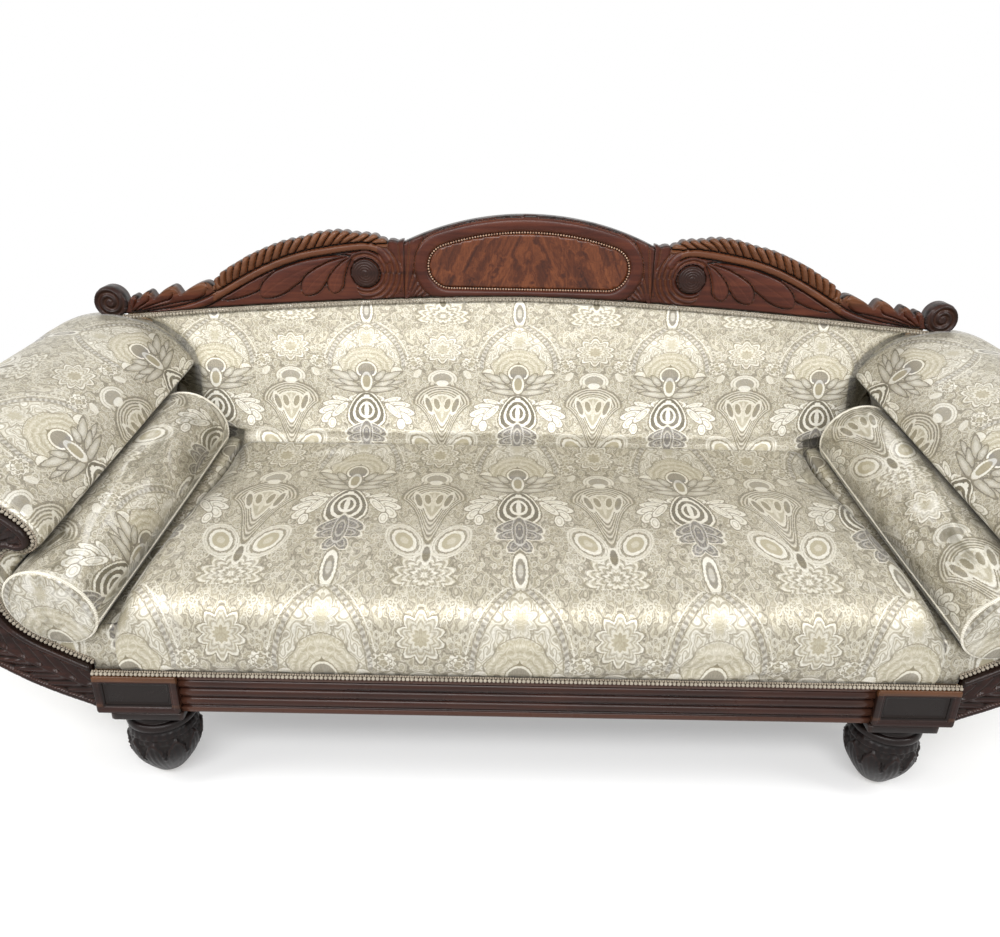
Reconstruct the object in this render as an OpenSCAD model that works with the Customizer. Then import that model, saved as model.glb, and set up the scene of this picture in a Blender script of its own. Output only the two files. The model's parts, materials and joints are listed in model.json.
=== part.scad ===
// Double-ended scroll-arm settee with a carved crest, two loose bolsters and four sunk casters.
// Millimetres. X runs along the seat, Y from front to back, Z up. The floor is Z = 0.

/* [Seat frame] */
// Length of the reeded front rail between the two corner tablets
rail_run = 1242; // [1100:1:1400]
// Width of a corner tablet
tablet_w = 149; // [140:1:160]
// How far a corner tablet stands in front of the reeded rail
tablet_proud = 10; // [4:1:14]
// Underside of the seat rails above the floor
rail_z = 176; // [168:1:190]
// Height of the seat rails
rail_h = 85; // [80:1:90]
// Thickness of the seat rails
rail_t = 34; // [30:1:38]
// Thickness of the reeded facing in front of the front rail
reed_t = 14; // [10:1:18]
// Depth from the reeded face to the rear face of the back rail
frame_d = 676; // [660:1:700]

/* [Seat] */
// Height of the seat pad at its crown
seat_top = 452; // [440:1:460]
// Height where the seat meets the back
seat_back_top = 473; // [468:1:478]
// Height of the rounded front edge of the seat
seat_edge_top = 413; // [405:1:420]
// How far the seat front bulges past the reeded face
seat_bulge = 10; // [4:1:14]
// Depth that the back pad and the back frame take up behind the seat
back_depth = 103; // [96:1:110]

/* [Back] */
// Height of the crest's top
crest_top = 969; // [960:1:985]
// Height of the crest's lower edge at the middle
crest_base = 796; // [790:1:803]
// How far the crest's lower edge falls towards its ends
crest_fall = 62; // [56:1:64]
// Half length of the crest, to the outside of its end volutes
crest_half = 967; // [955:1:980]
// Half width of the crest's arched middle tablet
crest_tablet_half = 273; // [262:1:284]
// Thickness of the crest boards
crest_t = 32; // [28:1:36]
// How far the crest's front face stands in front of the frame's rear face
crest_in = 21; // [20:1:24]
// Thickness of the back frame
back_t = 33; // [28:1:33]

/* [Arms] */
// Height of the roll's top at the front
roll_top_front = 655; // [645:1:665]
// Height of the roll's top at the back
roll_top_back = 738; // [734:1:739]
// Reach of the roll past the corner tablet
arm_out = 384; // [360:1:410]
// Thickness of the carved arm facing
facing_t = 18; // [14:1:22]
// Thickness of the structural arm boards
board_t = 22; // [18:1:22]
// Thickness of the stuffing on the arms
arm_pad_t = 26; // [20:1:28]

/* [Bolsters] */
// Radius of a bolster
bolster_r = 82; // [76:1:83]
// Radius of the piping round a bolster's ends
piping_r = 3; // [2:0.5:4]
// Clearance between a bolster and what it lies in
bolster_gap = 0.5; // [0.4:0.1:1]

/* [Feet and casters] */
// Largest diameter of a foot's carved bulb
foot_d = 134; // [120:1:140]
// Width of a foot's square plinth
plinth_w = 122; // [112:1:126]
// Height of a foot's underside above the floor
foot_gap = 15; // [12:1:17]
// Diameter of a caster wheel
wheel_d = 28; // [26:1:29]
// Width of a caster wheel
wheel_w = 11; // [9:1:12]
// Distance from the swivel axis to the wheel's axle
caster_trail = 8; // [6:1:9]
// Diameter of the caster's axle
axle_d = 5; // [4:0.5:6]
// Diameter of the caster's swivel pin
swivel_d = 8; // [7:0.5:9]

/* [Hidden] */
$fn = 48;

// Clearances and one overrun for every cut
gap = 0.3;
run_gap = 0.06;
over = 1;
fine_fn = 96;

// Seat frame places
rail_top = rail_z + rail_h;
end_inset_share = 1.35;
end_x = rail_run/2 + tablet_w - rail_t*end_inset_share;
end_rail_y0 = reed_t + rail_t;
back_rail_y0 = frame_d - back_t;
seat_d = frame_d - back_depth;
crest_y = frame_d - crest_in;
tablet_x0 = rail_run/2;
tablet_x1 = rail_run/2 + tablet_w;
arm_reach = tablet_x1 + arm_out;
tablet_drop = 5;
tablet_h = rail_h - tablet_drop;

// Cloth and webbing
cloth_t = 2;
hessian_z0 = rail_top + gap;
pad_z0 = hessian_z0 + cloth_t + gap;
web_t = 2;
web_w = 50;
cross_rail_w = 30;
cross_rail_x = 207;
brace_leg = 90;
brace_drop = 4;

// Foot places
foot_inset = 14;
foot_proud_share = 0.6;
foot_x = tablet_x0 + tablet_w/2 - foot_inset;
foot_front_y = plinth_w/2 - tablet_proud*foot_proud_share;
foot_back_y = frame_d - plinth_w/2;
foot_places = [
    [-foot_x, foot_front_y], [foot_x, foot_front_y], [-foot_x, foot_back_y], [foot_x, foot_back_y]
];
plinth_h = 18;
collar_h = 11;
collar_r_share = 0.72;
recess_r = 29;
recess_h = 22;
socket_t = 3;
socket_wall = 2;
socket_sleeve_r = swivel_d/2 + socket_wall;
socket_sleeve_h = 30;
fork_t = 3;
fork_gap = 0.5;
fork_disc_r = 13;
fork_disc_h = 4;
fork_cheek_wall = 2.6;
cheek_r = axle_d/2 + fork_cheek_wall;
pin_short = 4;
axle_out = 1;

// Bolster axis: places at the front end and at the back end, from the tablet's outer side
bolster_front_out = 36;
bolster_front_proud = 20;
bolster_front_drop = 10;
bolster_back_in = 33;
bolster_back_room = 28;
bolster_back_rise = 49;
bolster_front = [tablet_x1 + bolster_front_out, -bolster_front_proud, seat_edge_top - bolster_front_drop];
bolster_back = [tablet_x1 - bolster_back_in, seat_d - bolster_back_room, seat_back_top + bolster_back_rise];
bolster_vec = bolster_back - bolster_front;
bolster_len = norm(bolster_vec);
bolster_dir = bolster_vec/bolster_len;
bolster_barrel = 2;
bolster_dome = 7;
barrel_share = 0.6;

// Back frame: a raked plane that moves back with height
rake_share = 0.0565;
top_rail_end_h = 59;
top_rail_z0 = crest_base - crest_fall - top_rail_end_h;
top_rail_lap = 17.3;
top_rail_y0 = crest_y + top_rail_lap;
stile_w = 70;
middle_stile_x = 215;
dowel_r = 5;
dowel_len = 60;

// The part stands with the middle of its box at the origin
front_reach = bolster_front[1] - (bolster_r + piping_r)*sqrt(1 - pow(bolster_dir[1], 2));
back_reach = top_rail_y0 + back_t + gap + cloth_t;
middle_y = (front_reach + back_reach)/2;

function lerp(a, b, t) = a + (b - a)*t;
function reversed(list) = [for (i = [len(list) - 1:-1:0]) list[i]];
function flat(lists) = [for (l = lists) for (p = l) p];
function clamp01(v) = min(1, max(0, v));

// One point of a smooth curve between b and c
function curve_point(a, b, c, d, t) =
    (2*b + (c - a)*t + (2*a - 5*b + 4*c - d)*t*t + (3*b - a - 3*c + d)*t*t*t)/2;
// A smooth open curve through points, with n steps from point to point
function smooth(p, n) = concat(
    [for (i = [0:len(p) - 2]) for (k = [0:n - 1])
        curve_point(p[max(0, i - 1)], p[i], p[i + 1], p[min(len(p) - 1, i + 2)], k/n)],
    [p[len(p) - 1]]);
// The curve moved sideways by d, to the left of its direction
function left_of(v) = [-v[1], v[0]]/norm(v);
function moved(p, d) = [for (i = [0:len(p) - 1])
    p[i] + d*left_of(p[min(len(p) - 1, i + 1)] - p[max(0, i - 1)])];
// A value read from a table of pairs by straight lines
function table(t, v, i = 0) = v <= t[0][0] ? t[0][1] : i >= len(t) - 1 ? t[len(t) - 1][1] :
    v <= t[i + 1][0] ? lerp(t[i][1], t[i + 1][1], (v - t[i][0])/(t[i + 1][0] - t[i][0])) :
    table(t, v, i + 1);

// A closed solid between two sheets, each given as rows of n points: rows[k] = [sheet a, sheet b]
module between(rows) {
    n = len(rows[0][0]);
    m = 2*n;
    last = (len(rows) - 1)*m;
    points = flat([for (r = rows) concat(r[0], reversed(r[1]))]);
    sides = [for (k = [0:len(rows) - 2]) for (i = [0:m - 1]) for (f = [
        [k*m + i, k*m + (i + 1)%m, (k + 1)*m + (i + 1)%m],
        [k*m + i, (k + 1)*m + (i + 1)%m, (k + 1)*m + i]]) f];
    caps = [for (i = [0:n - 2]) for (f = [
        [i, m - 2 - i, i + 1], [i, m - 1 - i, m - 2 - i],
        [last + i, last + i + 1, last + m - 2 - i],
        [last + i, last + m - 2 - i, last + m - 1 - i]]) f];
    polyhedron(points, concat(sides, caps), convexity = 6);
}

// A straight bar of square section between two places on two planes across Y
module bar(a, b, w, h) {
    function ring(c) = [for (s = [[-1, -1], [1, -1], [1, 1], [-1, 1]])
        [c[0] + s[0]*w/2, c[1], c[2] + s[1]*h/2]];
    polyhedron(concat(ring(a), ring(b)), [
        [3, 2, 1, 0], [4, 5, 6, 7], [1, 5, 4, 0], [2, 6, 5, 1], [3, 7, 6, 2], [0, 4, 7, 3]]);
}

// An outline of x and z, given a depth along y
module plate(outline, y0, y1) {
    translate([0, y1, 0]) rotate([90, 0, 0]) linear_extrude(y1 - y0) polygon(outline);
}

// A cut across the depth of the back, given in y and z, run along x
module beam(outline, x0, x1) {
    translate([x0, 0, 0]) rotate([90, 0, 90]) linear_extrude(x1 - x0) polygon(outline);
}

module wood(shade = 1) {
    color([0.30*shade, 0.13*shade, 0.07*shade]) children();
}

module beech() {
    color([0.72, 0.56, 0.38]) children();
}

module fabric() {
    color([0.80, 0.77, 0.68]) children();
}

module brass() {
    color([0.72, 0.56, 0.24]) children();
}

// Everything is drawn from the reeded face and set over the origin here
module placed() {
    translate([0, -middle_y, 0]) children();
}

module mirrored(side) {
    if (side < 0) mirror([1, 0, 0]) children();
    else children();
}

// Seat frame

module front_rail() {
    placed() beech() translate([-end_x, reed_t, rail_z]) cube([2*end_x, rail_t, rail_h]);
}

module back_rail() {
    placed() beech() translate([-end_x, back_rail_y0, rail_z]) cube([2*end_x, back_t, rail_h]);
}

module end_rail(side) {
    placed() beech() mirrored(side) translate([end_x - rail_t, end_rail_y0, rail_z])
        cube([rail_t, back_rail_y0 - end_rail_y0, rail_h]);
}

module cross_rails() {
    placed() beech() for (s = [-1, 1])
        translate([s*cross_rail_x - cross_rail_w/2, end_rail_y0, rail_z])
            cube([cross_rail_w, back_rail_y0 - end_rail_y0, cross_rail_w]);
}

module corner_brace() {
    linear_extrude(rail_h - brace_drop) polygon([[0, 0], [-brace_leg, 0], [0, brace_leg]]);
}

module corner_braces() {
    placed() beech() for (s = [-1, 1]) mirrored(s) {
        translate([end_x - rail_t, end_rail_y0, rail_z]) corner_brace();
        translate([end_x - rail_t, back_rail_y0, rail_z]) mirror([0, 1, 0]) corner_brace();
    }
}

// Three rounded reeds between two flat fillets, cut as one section
reed_count = 3;
reed_share = 0.72;
reed_root_share = 0.35;
reed_round_share = 0.46;
reed_pitch = tablet_h*reed_share/reed_count;
module reeded_facing() {
    reed_y = reed_t*reed_root_share;
    placed() wood() union() {
        beam([[reed_y, rail_z], [reed_t, rail_z], [reed_t, rail_z + tablet_h],
              [reed_y, rail_z + tablet_h]], -tablet_x0, tablet_x0);
        for (z = [rail_z, rail_z + tablet_h*(1 + reed_share)/2])
            translate([-tablet_x0, 0, z])
                cube([2*tablet_x0, reed_t, tablet_h*(1 - reed_share)/2]);
        for (i = [0:reed_count - 1])
            translate([-tablet_x0, 0, rail_z + tablet_h*(1 - reed_share)/2 + (i + 0.5)*reed_pitch])
                intersection() {
                    translate([0, reed_pitch*reed_round_share, 0]) rotate([0, 90, 0])
                        cylinder(h = 2*tablet_x0, r = reed_pitch*reed_round_share);
                    translate([0, 0, -reed_pitch/2])
                        cube([2*tablet_x0, reed_t, reed_pitch]);
                }
    }
}

// Corner tablet with a sunk panel and a stepped foot moulding
tablet_panel_margin = 17;
tablet_panel_sink = 3;
module tablet(side) {
    placed() wood(0.8) mirrored(side) difference() {
        translate([tablet_x0, -tablet_proud, rail_z])
            cube([tablet_w, tablet_proud + reed_t, tablet_h]);
        translate([tablet_x0 + tablet_panel_margin, -tablet_proud - over,
                   rail_z + tablet_panel_margin])
            cube([tablet_w - 2*tablet_panel_margin, tablet_panel_sink + over,
                  tablet_h - 2*tablet_panel_margin]);
    }
}

// Feet and casters

foot_ball_h = rail_z - plinth_h - collar_h - foot_gap;
foot_steps = 12;
foot_neck_share = 0.62;
// Radius of the bulb at a share of its height, fullest a little above the middle
function bulb_r(s) = foot_d/2*(foot_neck_share + (1 - foot_neck_share)*sin(180*pow(s, 0.9)));
module foot(place) {
    bulb = [for (i = [0:foot_steps]) [bulb_r(i/foot_steps), foot_gap + foot_ball_h*i/foot_steps]];
    collar_r = foot_d/2*collar_r_share;
    collar_z = foot_gap + foot_ball_h;
    placed() wood(0.7) translate([place[0], place[1], 0]) difference() {
        union() {
            translate([-plinth_w/2, -plinth_w/2, rail_z - plinth_h])
                cube([plinth_w, plinth_w, plinth_h]);
            rotate_extrude($fn = fine_fn) polygon(concat([[0, foot_gap]], bulb,
                [[collar_r, collar_z], [collar_r, collar_z + collar_h], [0, collar_z + collar_h]]));
        }
        translate([0, 0, foot_gap - over]) cylinder(h = recess_h + over, r = recess_r);
        translate([0, 0, foot_gap])
            cylinder(h = recess_h + socket_sleeve_h + over, r = socket_sleeve_r + gap/2);
    }
}

module caster_sockets() {
    z1 = foot_gap + recess_h;
    placed() brass() for (p = foot_places) translate([p[0], p[1], 0]) difference() {
        union() {
            translate([0, 0, z1 - socket_t]) cylinder(h = socket_t, r = recess_r - gap);
            translate([0, 0, z1 - socket_t])
                cylinder(h = socket_t + socket_sleeve_h, r = socket_sleeve_r);
        }
        translate([0, 0, z1 - socket_t - over])
            cylinder(h = socket_t + socket_sleeve_h - over, r = swivel_d/2 + run_gap);
    }
}

fork_y = wheel_w/2 + fork_gap;
fork_disc_z = foot_gap + recess_h - socket_t - gap - fork_disc_h;
// Swivel pin, disc and two cheeks in one casting, with the axle riveted through
module caster_horn(place) {
    wheel_z = wheel_d/2;
    placed() brass() translate([place[0], place[1], 0]) {
        translate([0, 0, fork_disc_z])
            cylinder(h = fork_disc_h + gap + socket_t + socket_sleeve_h - pin_short, r = swivel_d/2);
        translate([0, 0, fork_disc_z]) cylinder(h = fork_disc_h, r = fork_disc_r);
        for (s = [-1, 1]) translate([s*(fork_y + fork_t/2) - fork_t/2, 0, 0]) {
            translate([0, caster_trail, wheel_z]) rotate([0, 90, 0])
                cylinder(h = fork_t, r = cheek_r);
            translate([0, caster_trail - cheek_r, wheel_z])
                cube([fork_t, 2*cheek_r - caster_trail/2, fork_disc_z - wheel_z + over]);
        }
        translate([-fork_y - fork_t - axle_out, caster_trail, wheel_z]) rotate([0, 90, 0])
            cylinder(h = 2*(fork_y + fork_t + axle_out), r = axle_d/2);
    }
}

module caster_wheel(place) {
    placed() brass() translate([place[0] - wheel_w/2, place[1] + caster_trail, wheel_d/2])
        rotate([0, 90, 0]) difference() {
            cylinder(h = wheel_w, r = wheel_d/2);
            translate([0, 0, -over]) cylinder(h = over + wheel_w + over, r = axle_d/2 + run_gap);
        }
}

// Seat stuffing

spring_x_shares = [-0.918, -0.548, -0.155, 0.155, 0.548, 0.918];
spring_y_shares = [0.281, 0.510, 0.740];
spring_x_places = [for (s = spring_x_shares) s*tablet_x0];
spring_y_places = [for (s = spring_y_shares) s*frame_d];
spring_wire_r = 2;
spring_end_r = 38;
spring_waist_r = 25;
spring_turns = 3;
spring_steps = 6;
web_end_share = 0.25;
module seat_webbing() {
    z0 = rail_z - web_t;
    y0 = reed_t + rail_t*web_end_share;
    y1 = back_rail_y0 + back_t*(1 - web_end_share);
    x1 = end_x - rail_t*web_end_share;
    placed() color([0.75, 0.68, 0.52]) union() {
        for (x = spring_x_places) translate([x - web_w/2, y0, z0])
            cube([web_w, y1 - y0, web_t]);
        for (y = spring_y_places) translate([-x1, y - web_w/2, z0])
            cube([2*x1, web_w, web_t]);
    }
}

// One coil, narrow at its waist, from the webbing up to the hessian
module spring() {
    z0 = rail_z + gap + spring_wire_r;
    z1 = rail_top - spring_wire_r;
    count = spring_turns*spring_steps;
    function centre(i) = let (s = i/count, a = 360*i/spring_steps,
        r = spring_waist_r + (spring_end_r - spring_waist_r)*pow(2*s - 1, 2))
        [r*cos(a), r*sin(a), lerp(z0, z1, s)];
    rings = [for (i = [0:count]) let (a = 360*i/spring_steps, c = centre(i))
        [for (k = [0:3]) c + spring_wire_r*[cos(a)*cos(90*k), sin(a)*cos(90*k), sin(90*k)]]];
    sides = [for (i = [0:count - 1]) for (k = [0:3]) for (f = [
        [4*i + k, 4*i + (k + 1)%4, 4*i + 4 + (k + 1)%4],
        [4*i + k, 4*i + 4 + (k + 1)%4, 4*i + 4 + k]]) f];
    last = 4*count;
    ends = [[0, 2, 1], [0, 3, 2], [last, last + 1, last + 2], [last, last + 2, last + 3]];
    polyhedron(flat(rings), concat(sides, ends), convexity = 8);
}

module seat_springs() {
    placed() color([0.45, 0.40, 0.36]) for (x = spring_x_places) for (y = spring_y_places)
        translate([x, y, 0]) spring();
}

module seat_hessian() {
    placed() color([0.70, 0.60, 0.42]) translate([-end_x, reed_t + gap, hessian_z0])
        cube([2*end_x, back_rail_y0 - reed_t - 2*gap, cloth_t]);
}

// Dust cover under the frame, notched round the four foot plinths
module dust_cover() {
    inset = 12;
    notch_x = foot_x - plinth_w/2 - gap;
    x1 = end_x - inset;
    y0 = reed_t + inset;
    y1 = frame_d - inset;
    notch_y0 = foot_front_y + plinth_w/2 + gap;
    notch_y1 = foot_back_y - plinth_w/2 - gap;
    half = [[0, y0], [notch_x, y0], [notch_x, notch_y0], [x1, notch_y0],
            [x1, notch_y1], [notch_x, notch_y1], [notch_x, y1], [0, y1]];
    placed() color([0.08, 0.08, 0.09]) translate([0, 0, rail_z - web_t - gap - cloth_t/2])
        linear_extrude(cloth_t/2)
            polygon(concat(half, [for (p = reversed(half)) [-p[0], p[1]]]));
}

// Half width of the seat pad at a depth: its sides close in towards the back, beside the bolsters
wall_room_front = 5;
wall_room_back = -2;
wall_front_x = bolster_front[0] - bolster_r - wall_room_front;
wall_back_x = bolster_back[0] - bolster_r - wall_room_back;
function wall_x(y) = lerp(wall_front_x, wall_back_x,
    (y - bolster_front[1])/(bolster_back[1] - bolster_front[1]));

// Seat section: depth share and height share pairs from the front border over the crown
seat_front_shares = [[0, 0], [0, 0.03], [-0.75, 0.16], [-1, 0.4], [-0.9, 0.68], [-0.1, 0.88], [2, 1]];
seat_top_shares = [[0.1, 0.3], [0.24, 0.6], [0.42, 0.83], [0.6, 0.95], [0.77, 1]];
seat_rear_share = [0.9, 0.35];
seat_edge_r = 46;
seat_round_share = 0.98;
seat_profile = concat(
    [for (s = seat_front_shares) [s[0]*seat_bulge, lerp(pad_z0, seat_edge_top, s[1])]],
    [for (s = seat_top_shares) [s[0]*seat_d, lerp(seat_edge_top, seat_top, s[1])]],
    [[seat_d*seat_rear_share[0], lerp(seat_top, seat_back_top, seat_rear_share[1])],
     [seat_d - seat_bulge, seat_back_top],
     [seat_d - gap, seat_back_top - seat_bulge]]);
seat_side_shares = [-1, -0.992, -0.975, -0.94, -0.86, -0.7, -0.45, -0.2, 0.0,
                    0.2, 0.45, 0.7, 0.86, 0.94, 0.975, 0.992, 1];
module seat_pad() {
    n = len(seat_profile);
    // Height lost where the top rounds over into the side
    function side_drop(s) = let (e = clamp01((abs(s) - 1)*wall_front_x/seat_edge_r + 1))
        seat_edge_r*(1 - sqrt(1 - e*e*seat_round_share));
    rows = [for (s = seat_side_shares) [
        [for (p = seat_profile) [s*(wall_x(p[0]) - gap), p[0],
            p[1] - side_drop(s)*clamp01((p[1] - pad_z0)/(seat_edge_top - pad_z0))]],
        [for (i = [0:n - 1]) let (y = lerp(over, seat_d - gap, (i + 1)/(n + 1)))
            [s*(wall_x(y) - gap), y, pad_z0]]]];
    placed() fabric() between(rows);
}

braid_t = 4;
braid_w = 10;
arm_braid_w = 6;
module seat_braid() {
    placed() color([0.66, 0.58, 0.46]) translate([-tablet_x1, -gap - braid_t, rail_z + tablet_h + gap])
        cube([2*tablet_x1, braid_t, braid_w]);
}

// Arms, drawn for the side where x is positive

// A place on the bolster's axis at a depth
function axis_at(y) = lerp(bolster_front, bolster_back,
    (y - bolster_front[1])/(bolster_back[1] - bolster_front[1]));
arm_y0 = reed_t + gap;
arm_lap = 7;
arm_y1 = back_rail_y0 + arm_lap - gap;
arc_steps = 10;
arc_start = 225;
arc_inner_start = 240;
arc_end_front = 410;
arc_end_back = 405;
wall_step = 4;
board_room = 7;
// The slanted cylinder, cut by a plane across Y, is an ellipse: its radius at an angle
slant = 1 - pow(bolster_dir[1], 2);
slant_angle = atan2(bolster_dir[2], bolster_dir[0]);
function pocket_r(a, extra) = extra + (bolster_r + bolster_gap + bolster_barrel*barrel_share)
    /cos(180/(2*arc_steps))/sqrt(1 - slant*pow(cos(a - slant_angle), 2));
function pocket(y, a, extra) = let (c = axis_at(y)) [c[0], c[2]] + pocket_r(a, extra)*[cos(a), sin(a)];

// Roll outlines at the two ends: shares of the reach from the pocket's middle and of the
// height between the pocket's middle and the roll's top
roll_root_front = [axis_at(arm_y0)[0], axis_at(arm_y0)[2]];
roll_root_back = [axis_at(arm_y1)[0], axis_at(arm_y1)[2]];
roll_front_shares = [
    [0.161, 0.290], [0.092, 0.338], [0.040, 0.404], [0.057, 0.518], [0.111, 0.633],
    [0.170, 0.722], [0.278, 0.837], [0.420, 0.931], [0.577, 0.988], [0.719, 1.0],
    [0.847, 0.951], [0.946, 0.829], [0.989, 0.653], [0.949, 0.469], [0.858, 0.318]];
roll_back_shares = [
    [0.120, 0.368], [0.089, 0.412], [0.067, 0.455], [0.077, 0.521], [0.102, 0.593],
    [0.165, 0.737], [0.265, 0.881], [0.386, 0.964], [0.514, 1.0], [0.642, 0.964],
    [0.758, 0.856], [0.847, 0.665], [0.888, 0.418], [0.884, 0.149], [0.828, -0.072]];
nose_count = 5;
roll_mid_front_share = [0.676, 0.653];
roll_mid_back_share = [0.607, 0.418];
roll_steps = 2;
function roll_front(s) = roll_root_front +
    [s[0]*(arm_reach - roll_root_front[0]), s[1]*(roll_top_front - roll_root_front[1])];
function roll_back(s) = roll_root_back +
    [s[0]*(arm_reach - roll_root_back[0]), s[1]*(roll_top_back - roll_root_back[1])];
roll_front_path = smooth([for (s = roll_front_shares) roll_front(s)], roll_steps);
roll_back_path = smooth([for (s = roll_back_shares) roll_back(s)], roll_steps);
roll_crown = 5;

function arm_share(y) = (y - arm_y0)/(arm_y1 - arm_y0);
// Outer surface of the stuffing: wall, pocket, then nose and roll
function arm_outer(y) = let (t = arm_share(y), w = wall_x(y) + gap, c = axis_at(y),
    end = lerp(arc_end_front, arc_end_back, t))
    concat([[w, pad_z0], [w, pocket(y, arc_start, 0)[1] - wall_step]],
        [for (i = [0:arc_steps]) pocket(y, lerp(arc_start, end, i/arc_steps), 0)],
        [for (i = [0:len(roll_front_path) - 1]) roll_point(i, t)]);
function roll_mid(t) = lerp(roll_front(roll_mid_front_share), roll_back(roll_mid_back_share), t);
function roll_point(i, t) = let (p = lerp(roll_front_path[i], roll_back_path[i], t), m = roll_mid(t),
    weight = clamp01((i - nose_count*roll_steps)/4)*sin(180*t))
    p + (p - m)/norm(p - m)*roll_crown*weight;
// Inner surface, next to the frame
function arm_inner(y, more = 0) = let (t = arm_share(y), w = wall_x(y) + arm_pad_t + more,
    r = arm_pad_t + more, end = lerp(arc_end_front, arc_end_back, t),
    low = pocket(y, arc_inner_start, r), a = pocket(y, end, r), m = roll_mid(t),
    first = nose_count*roll_steps, p0 = roll_point(first, t), b = p0 + (m - p0)/norm(m - p0)*r)
    concat([[w, pad_z0], [w, low[1] - 2*wall_step]],
        [for (i = [0:arc_steps]) let (q = lerp(arc_start, end, i/arc_steps))
            q < arc_inner_start ? [w, low[1] - wall_step] : pocket(y, q, r)],
        [for (i = [0:len(roll_front_path) - 1]) i < first ? lerp(a, b, (i + 1)/(first + 1)) :
            let (p = roll_point(i, t)) p + (m - p)/norm(m - p)*r]);
arm_stations = 6;
function at_depth(path, y) = [for (p = path) [p[0], y, p[1]]];
module arm_pad(side) {
    rows = [for (k = [0:arm_stations]) let (y = lerp(arm_y1, arm_y0, k/arm_stations))
        [at_depth(arm_outer(y), y), at_depth(arm_inner(y), y)]];
    placed() fabric() mirrored(side) between(rows);
}

// Lower outside edge of the arm, from the roll down and in to the tablet, as shares of the
// reach past the tablet and of the height over the rail's underside
neck_front_shares = [[0.8125, 0.620], [0.760, 0.530], [0.690, 0.432], [0.607, 0.338],
    [0.500, 0.253], [0.409, 0.198], [0.289, 0.134], [0.164, 0.081], [0.044, 0.038], [0, 0.021]];
neck_back_shares = [[0.786, 0.708], [0.740, 0.603], [0.664, 0.495], [0.573, 0.390],
    [0.464, 0.294], [0.352, 0.217], [0.234, 0.152], [0.117, 0.096], [0.031, 0.044], [0, 0.021]];
neck_span = arm_reach - tablet_x1;
neck_rise = roll_top_front - rail_z;
function neck_point(s) = [tablet_x1 + s[0]*neck_span, rail_z + s[1]*neck_rise];
neck_front_path = smooth([for (s = neck_front_shares) neck_point(s)], roll_steps);
neck_back_path = smooth([for (s = neck_back_shares) neck_point(s)], roll_steps);

// Carved facing: inner edge beside the stuffing, up round the nose and over the scroll head
facing_head_shares = [[0, 0.203], [0.122, 0.257], [0.242, 0.315], [0.333, 0.386], [0.372, 0.478],
    [0.354, 0.576], [0.318, 0.649], [0.260, 0.689], [0.208, 0.681], [0.167, 0.689], [0.151, 0.716],
    [0.172, 0.760], [0.240, 0.814], [0.344, 0.871], [0.474, 0.921], [0.612, 0.950], [0.742, 0.956],
    [0.839, 0.933], [0.906, 0.879], [0.932, 0.812], [0.896, 0.729], [0.828, 0.658]];
facing_head = smooth([for (s = facing_head_shares) neck_point(s)], 3);
facing_y0 = reed_t - facing_t;
module arm_facing(side) {
    placed() wood(0.9) mirrored(side) plate(concat(facing_head, neck_front_path), facing_y0, reed_t);
}

// Braid laid on the front of the stuffing along the facing's inner edge
module arm_braid(side) {
    placed() color([0.66, 0.58, 0.46]) mirrored(side)
        plate(concat(moved(facing_head, gap + arm_braid_w), reversed(moved(facing_head, gap))),
            reed_t - braid_t, reed_t);
}

// Structural boards at the two ends of an arm
board_inset = 9;
module arm_board(side, y0, y1, inner, neck) {
    foot_pts = [[end_x, rail_z + board_inset], [end_x, rail_top]];
    outline = concat([[inner[0][0], rail_top]], [for (i = [2:len(inner) - 1]) inner[i]],
        moved(neck, -board_inset), foot_pts);
    placed() beech() mirrored(side) plate(outline, y0, y1);
}
module arm_front_board(side) {
    arm_board(side, reed_t, reed_t + board_t, arm_inner(reed_t + board_t, board_room), neck_front_path);
}
module arm_back_board(side) {
    arm_board(side, arm_y1 + gap, arm_y1 + gap + board_t, arm_inner(arm_y1, over), neck_back_path);
}

// Cloth over the back of an arm, from the back's own cloth out to the roll
module arm_back_cover(side) {
    x0 = outside_half + gap;
    x1 = top_rail_half + gap;
    z1 = top_rail_z0 - gap;
    roll = [for (p = moved(roll_back_path, -board_inset)) if (p[0] > x1) p];
    neck = [for (p = moved(neck_back_path, -board_inset)) if (p[0] > x0) p];
    placed() fabric() mirrored(side)
        plate(concat([[x0, neck[len(neck) - 1][1]], [x0, z1], [x1, z1]], roll, neck),
            arm_y1 + board_t + 2*gap, arm_y1 + board_t + 2*gap + cloth_t);
}

// Middles of the head, nose and lower rails at the two boards, as shares like the roll's
arm_rail_front_shares = [roll_mid_front_share, [0.349, 0.633], [0.415, -0.273]];
arm_rail_back_shares = [[0.618, 0.479], [0.298, 0.531], [0.363, -0.459]];
arm_rail_w = [46, 28, 30];
module arm_rails(side) {
    y0 = reed_t + board_t;
    y1 = arm_y1 + gap;
    placed() beech() mirrored(side) for (i = [0:2]) let (a = roll_front(arm_rail_front_shares[i]),
        b = roll_back(arm_rail_back_shares[i]))
        bar([a[0], y0, a[1]], [b[0], y1, b[1]], arm_rail_w[i], arm_rail_w[i]);
}

outside_inset = 4;
module arm_outside(side) {
    rows = [for (y = [arm_y0, lerp(arm_y0, arm_y1, 0.5), arm_y1]) let (t = arm_share(y),
        path = [for (i = [0:len(neck_front_path) - 1]) lerp(neck_front_path[i], neck_back_path[i], t)])
        [at_depth(moved(path, -outside_inset - cloth_t), y), at_depth(moved(path, -outside_inset), y)]];
    placed() fabric() mirrored(side) between(rows);
}

// Back

// Front of the back frame at a height
function frame_y(z) = back_rail_y0 + (z - rail_top)*rake_share;
crest_end_share = 0.972;
crest_curve_power = 1.5;
function crest_low(x) = crest_base -
    crest_fall*pow(abs(x)/(crest_half*crest_end_share), crest_curve_power);

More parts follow.
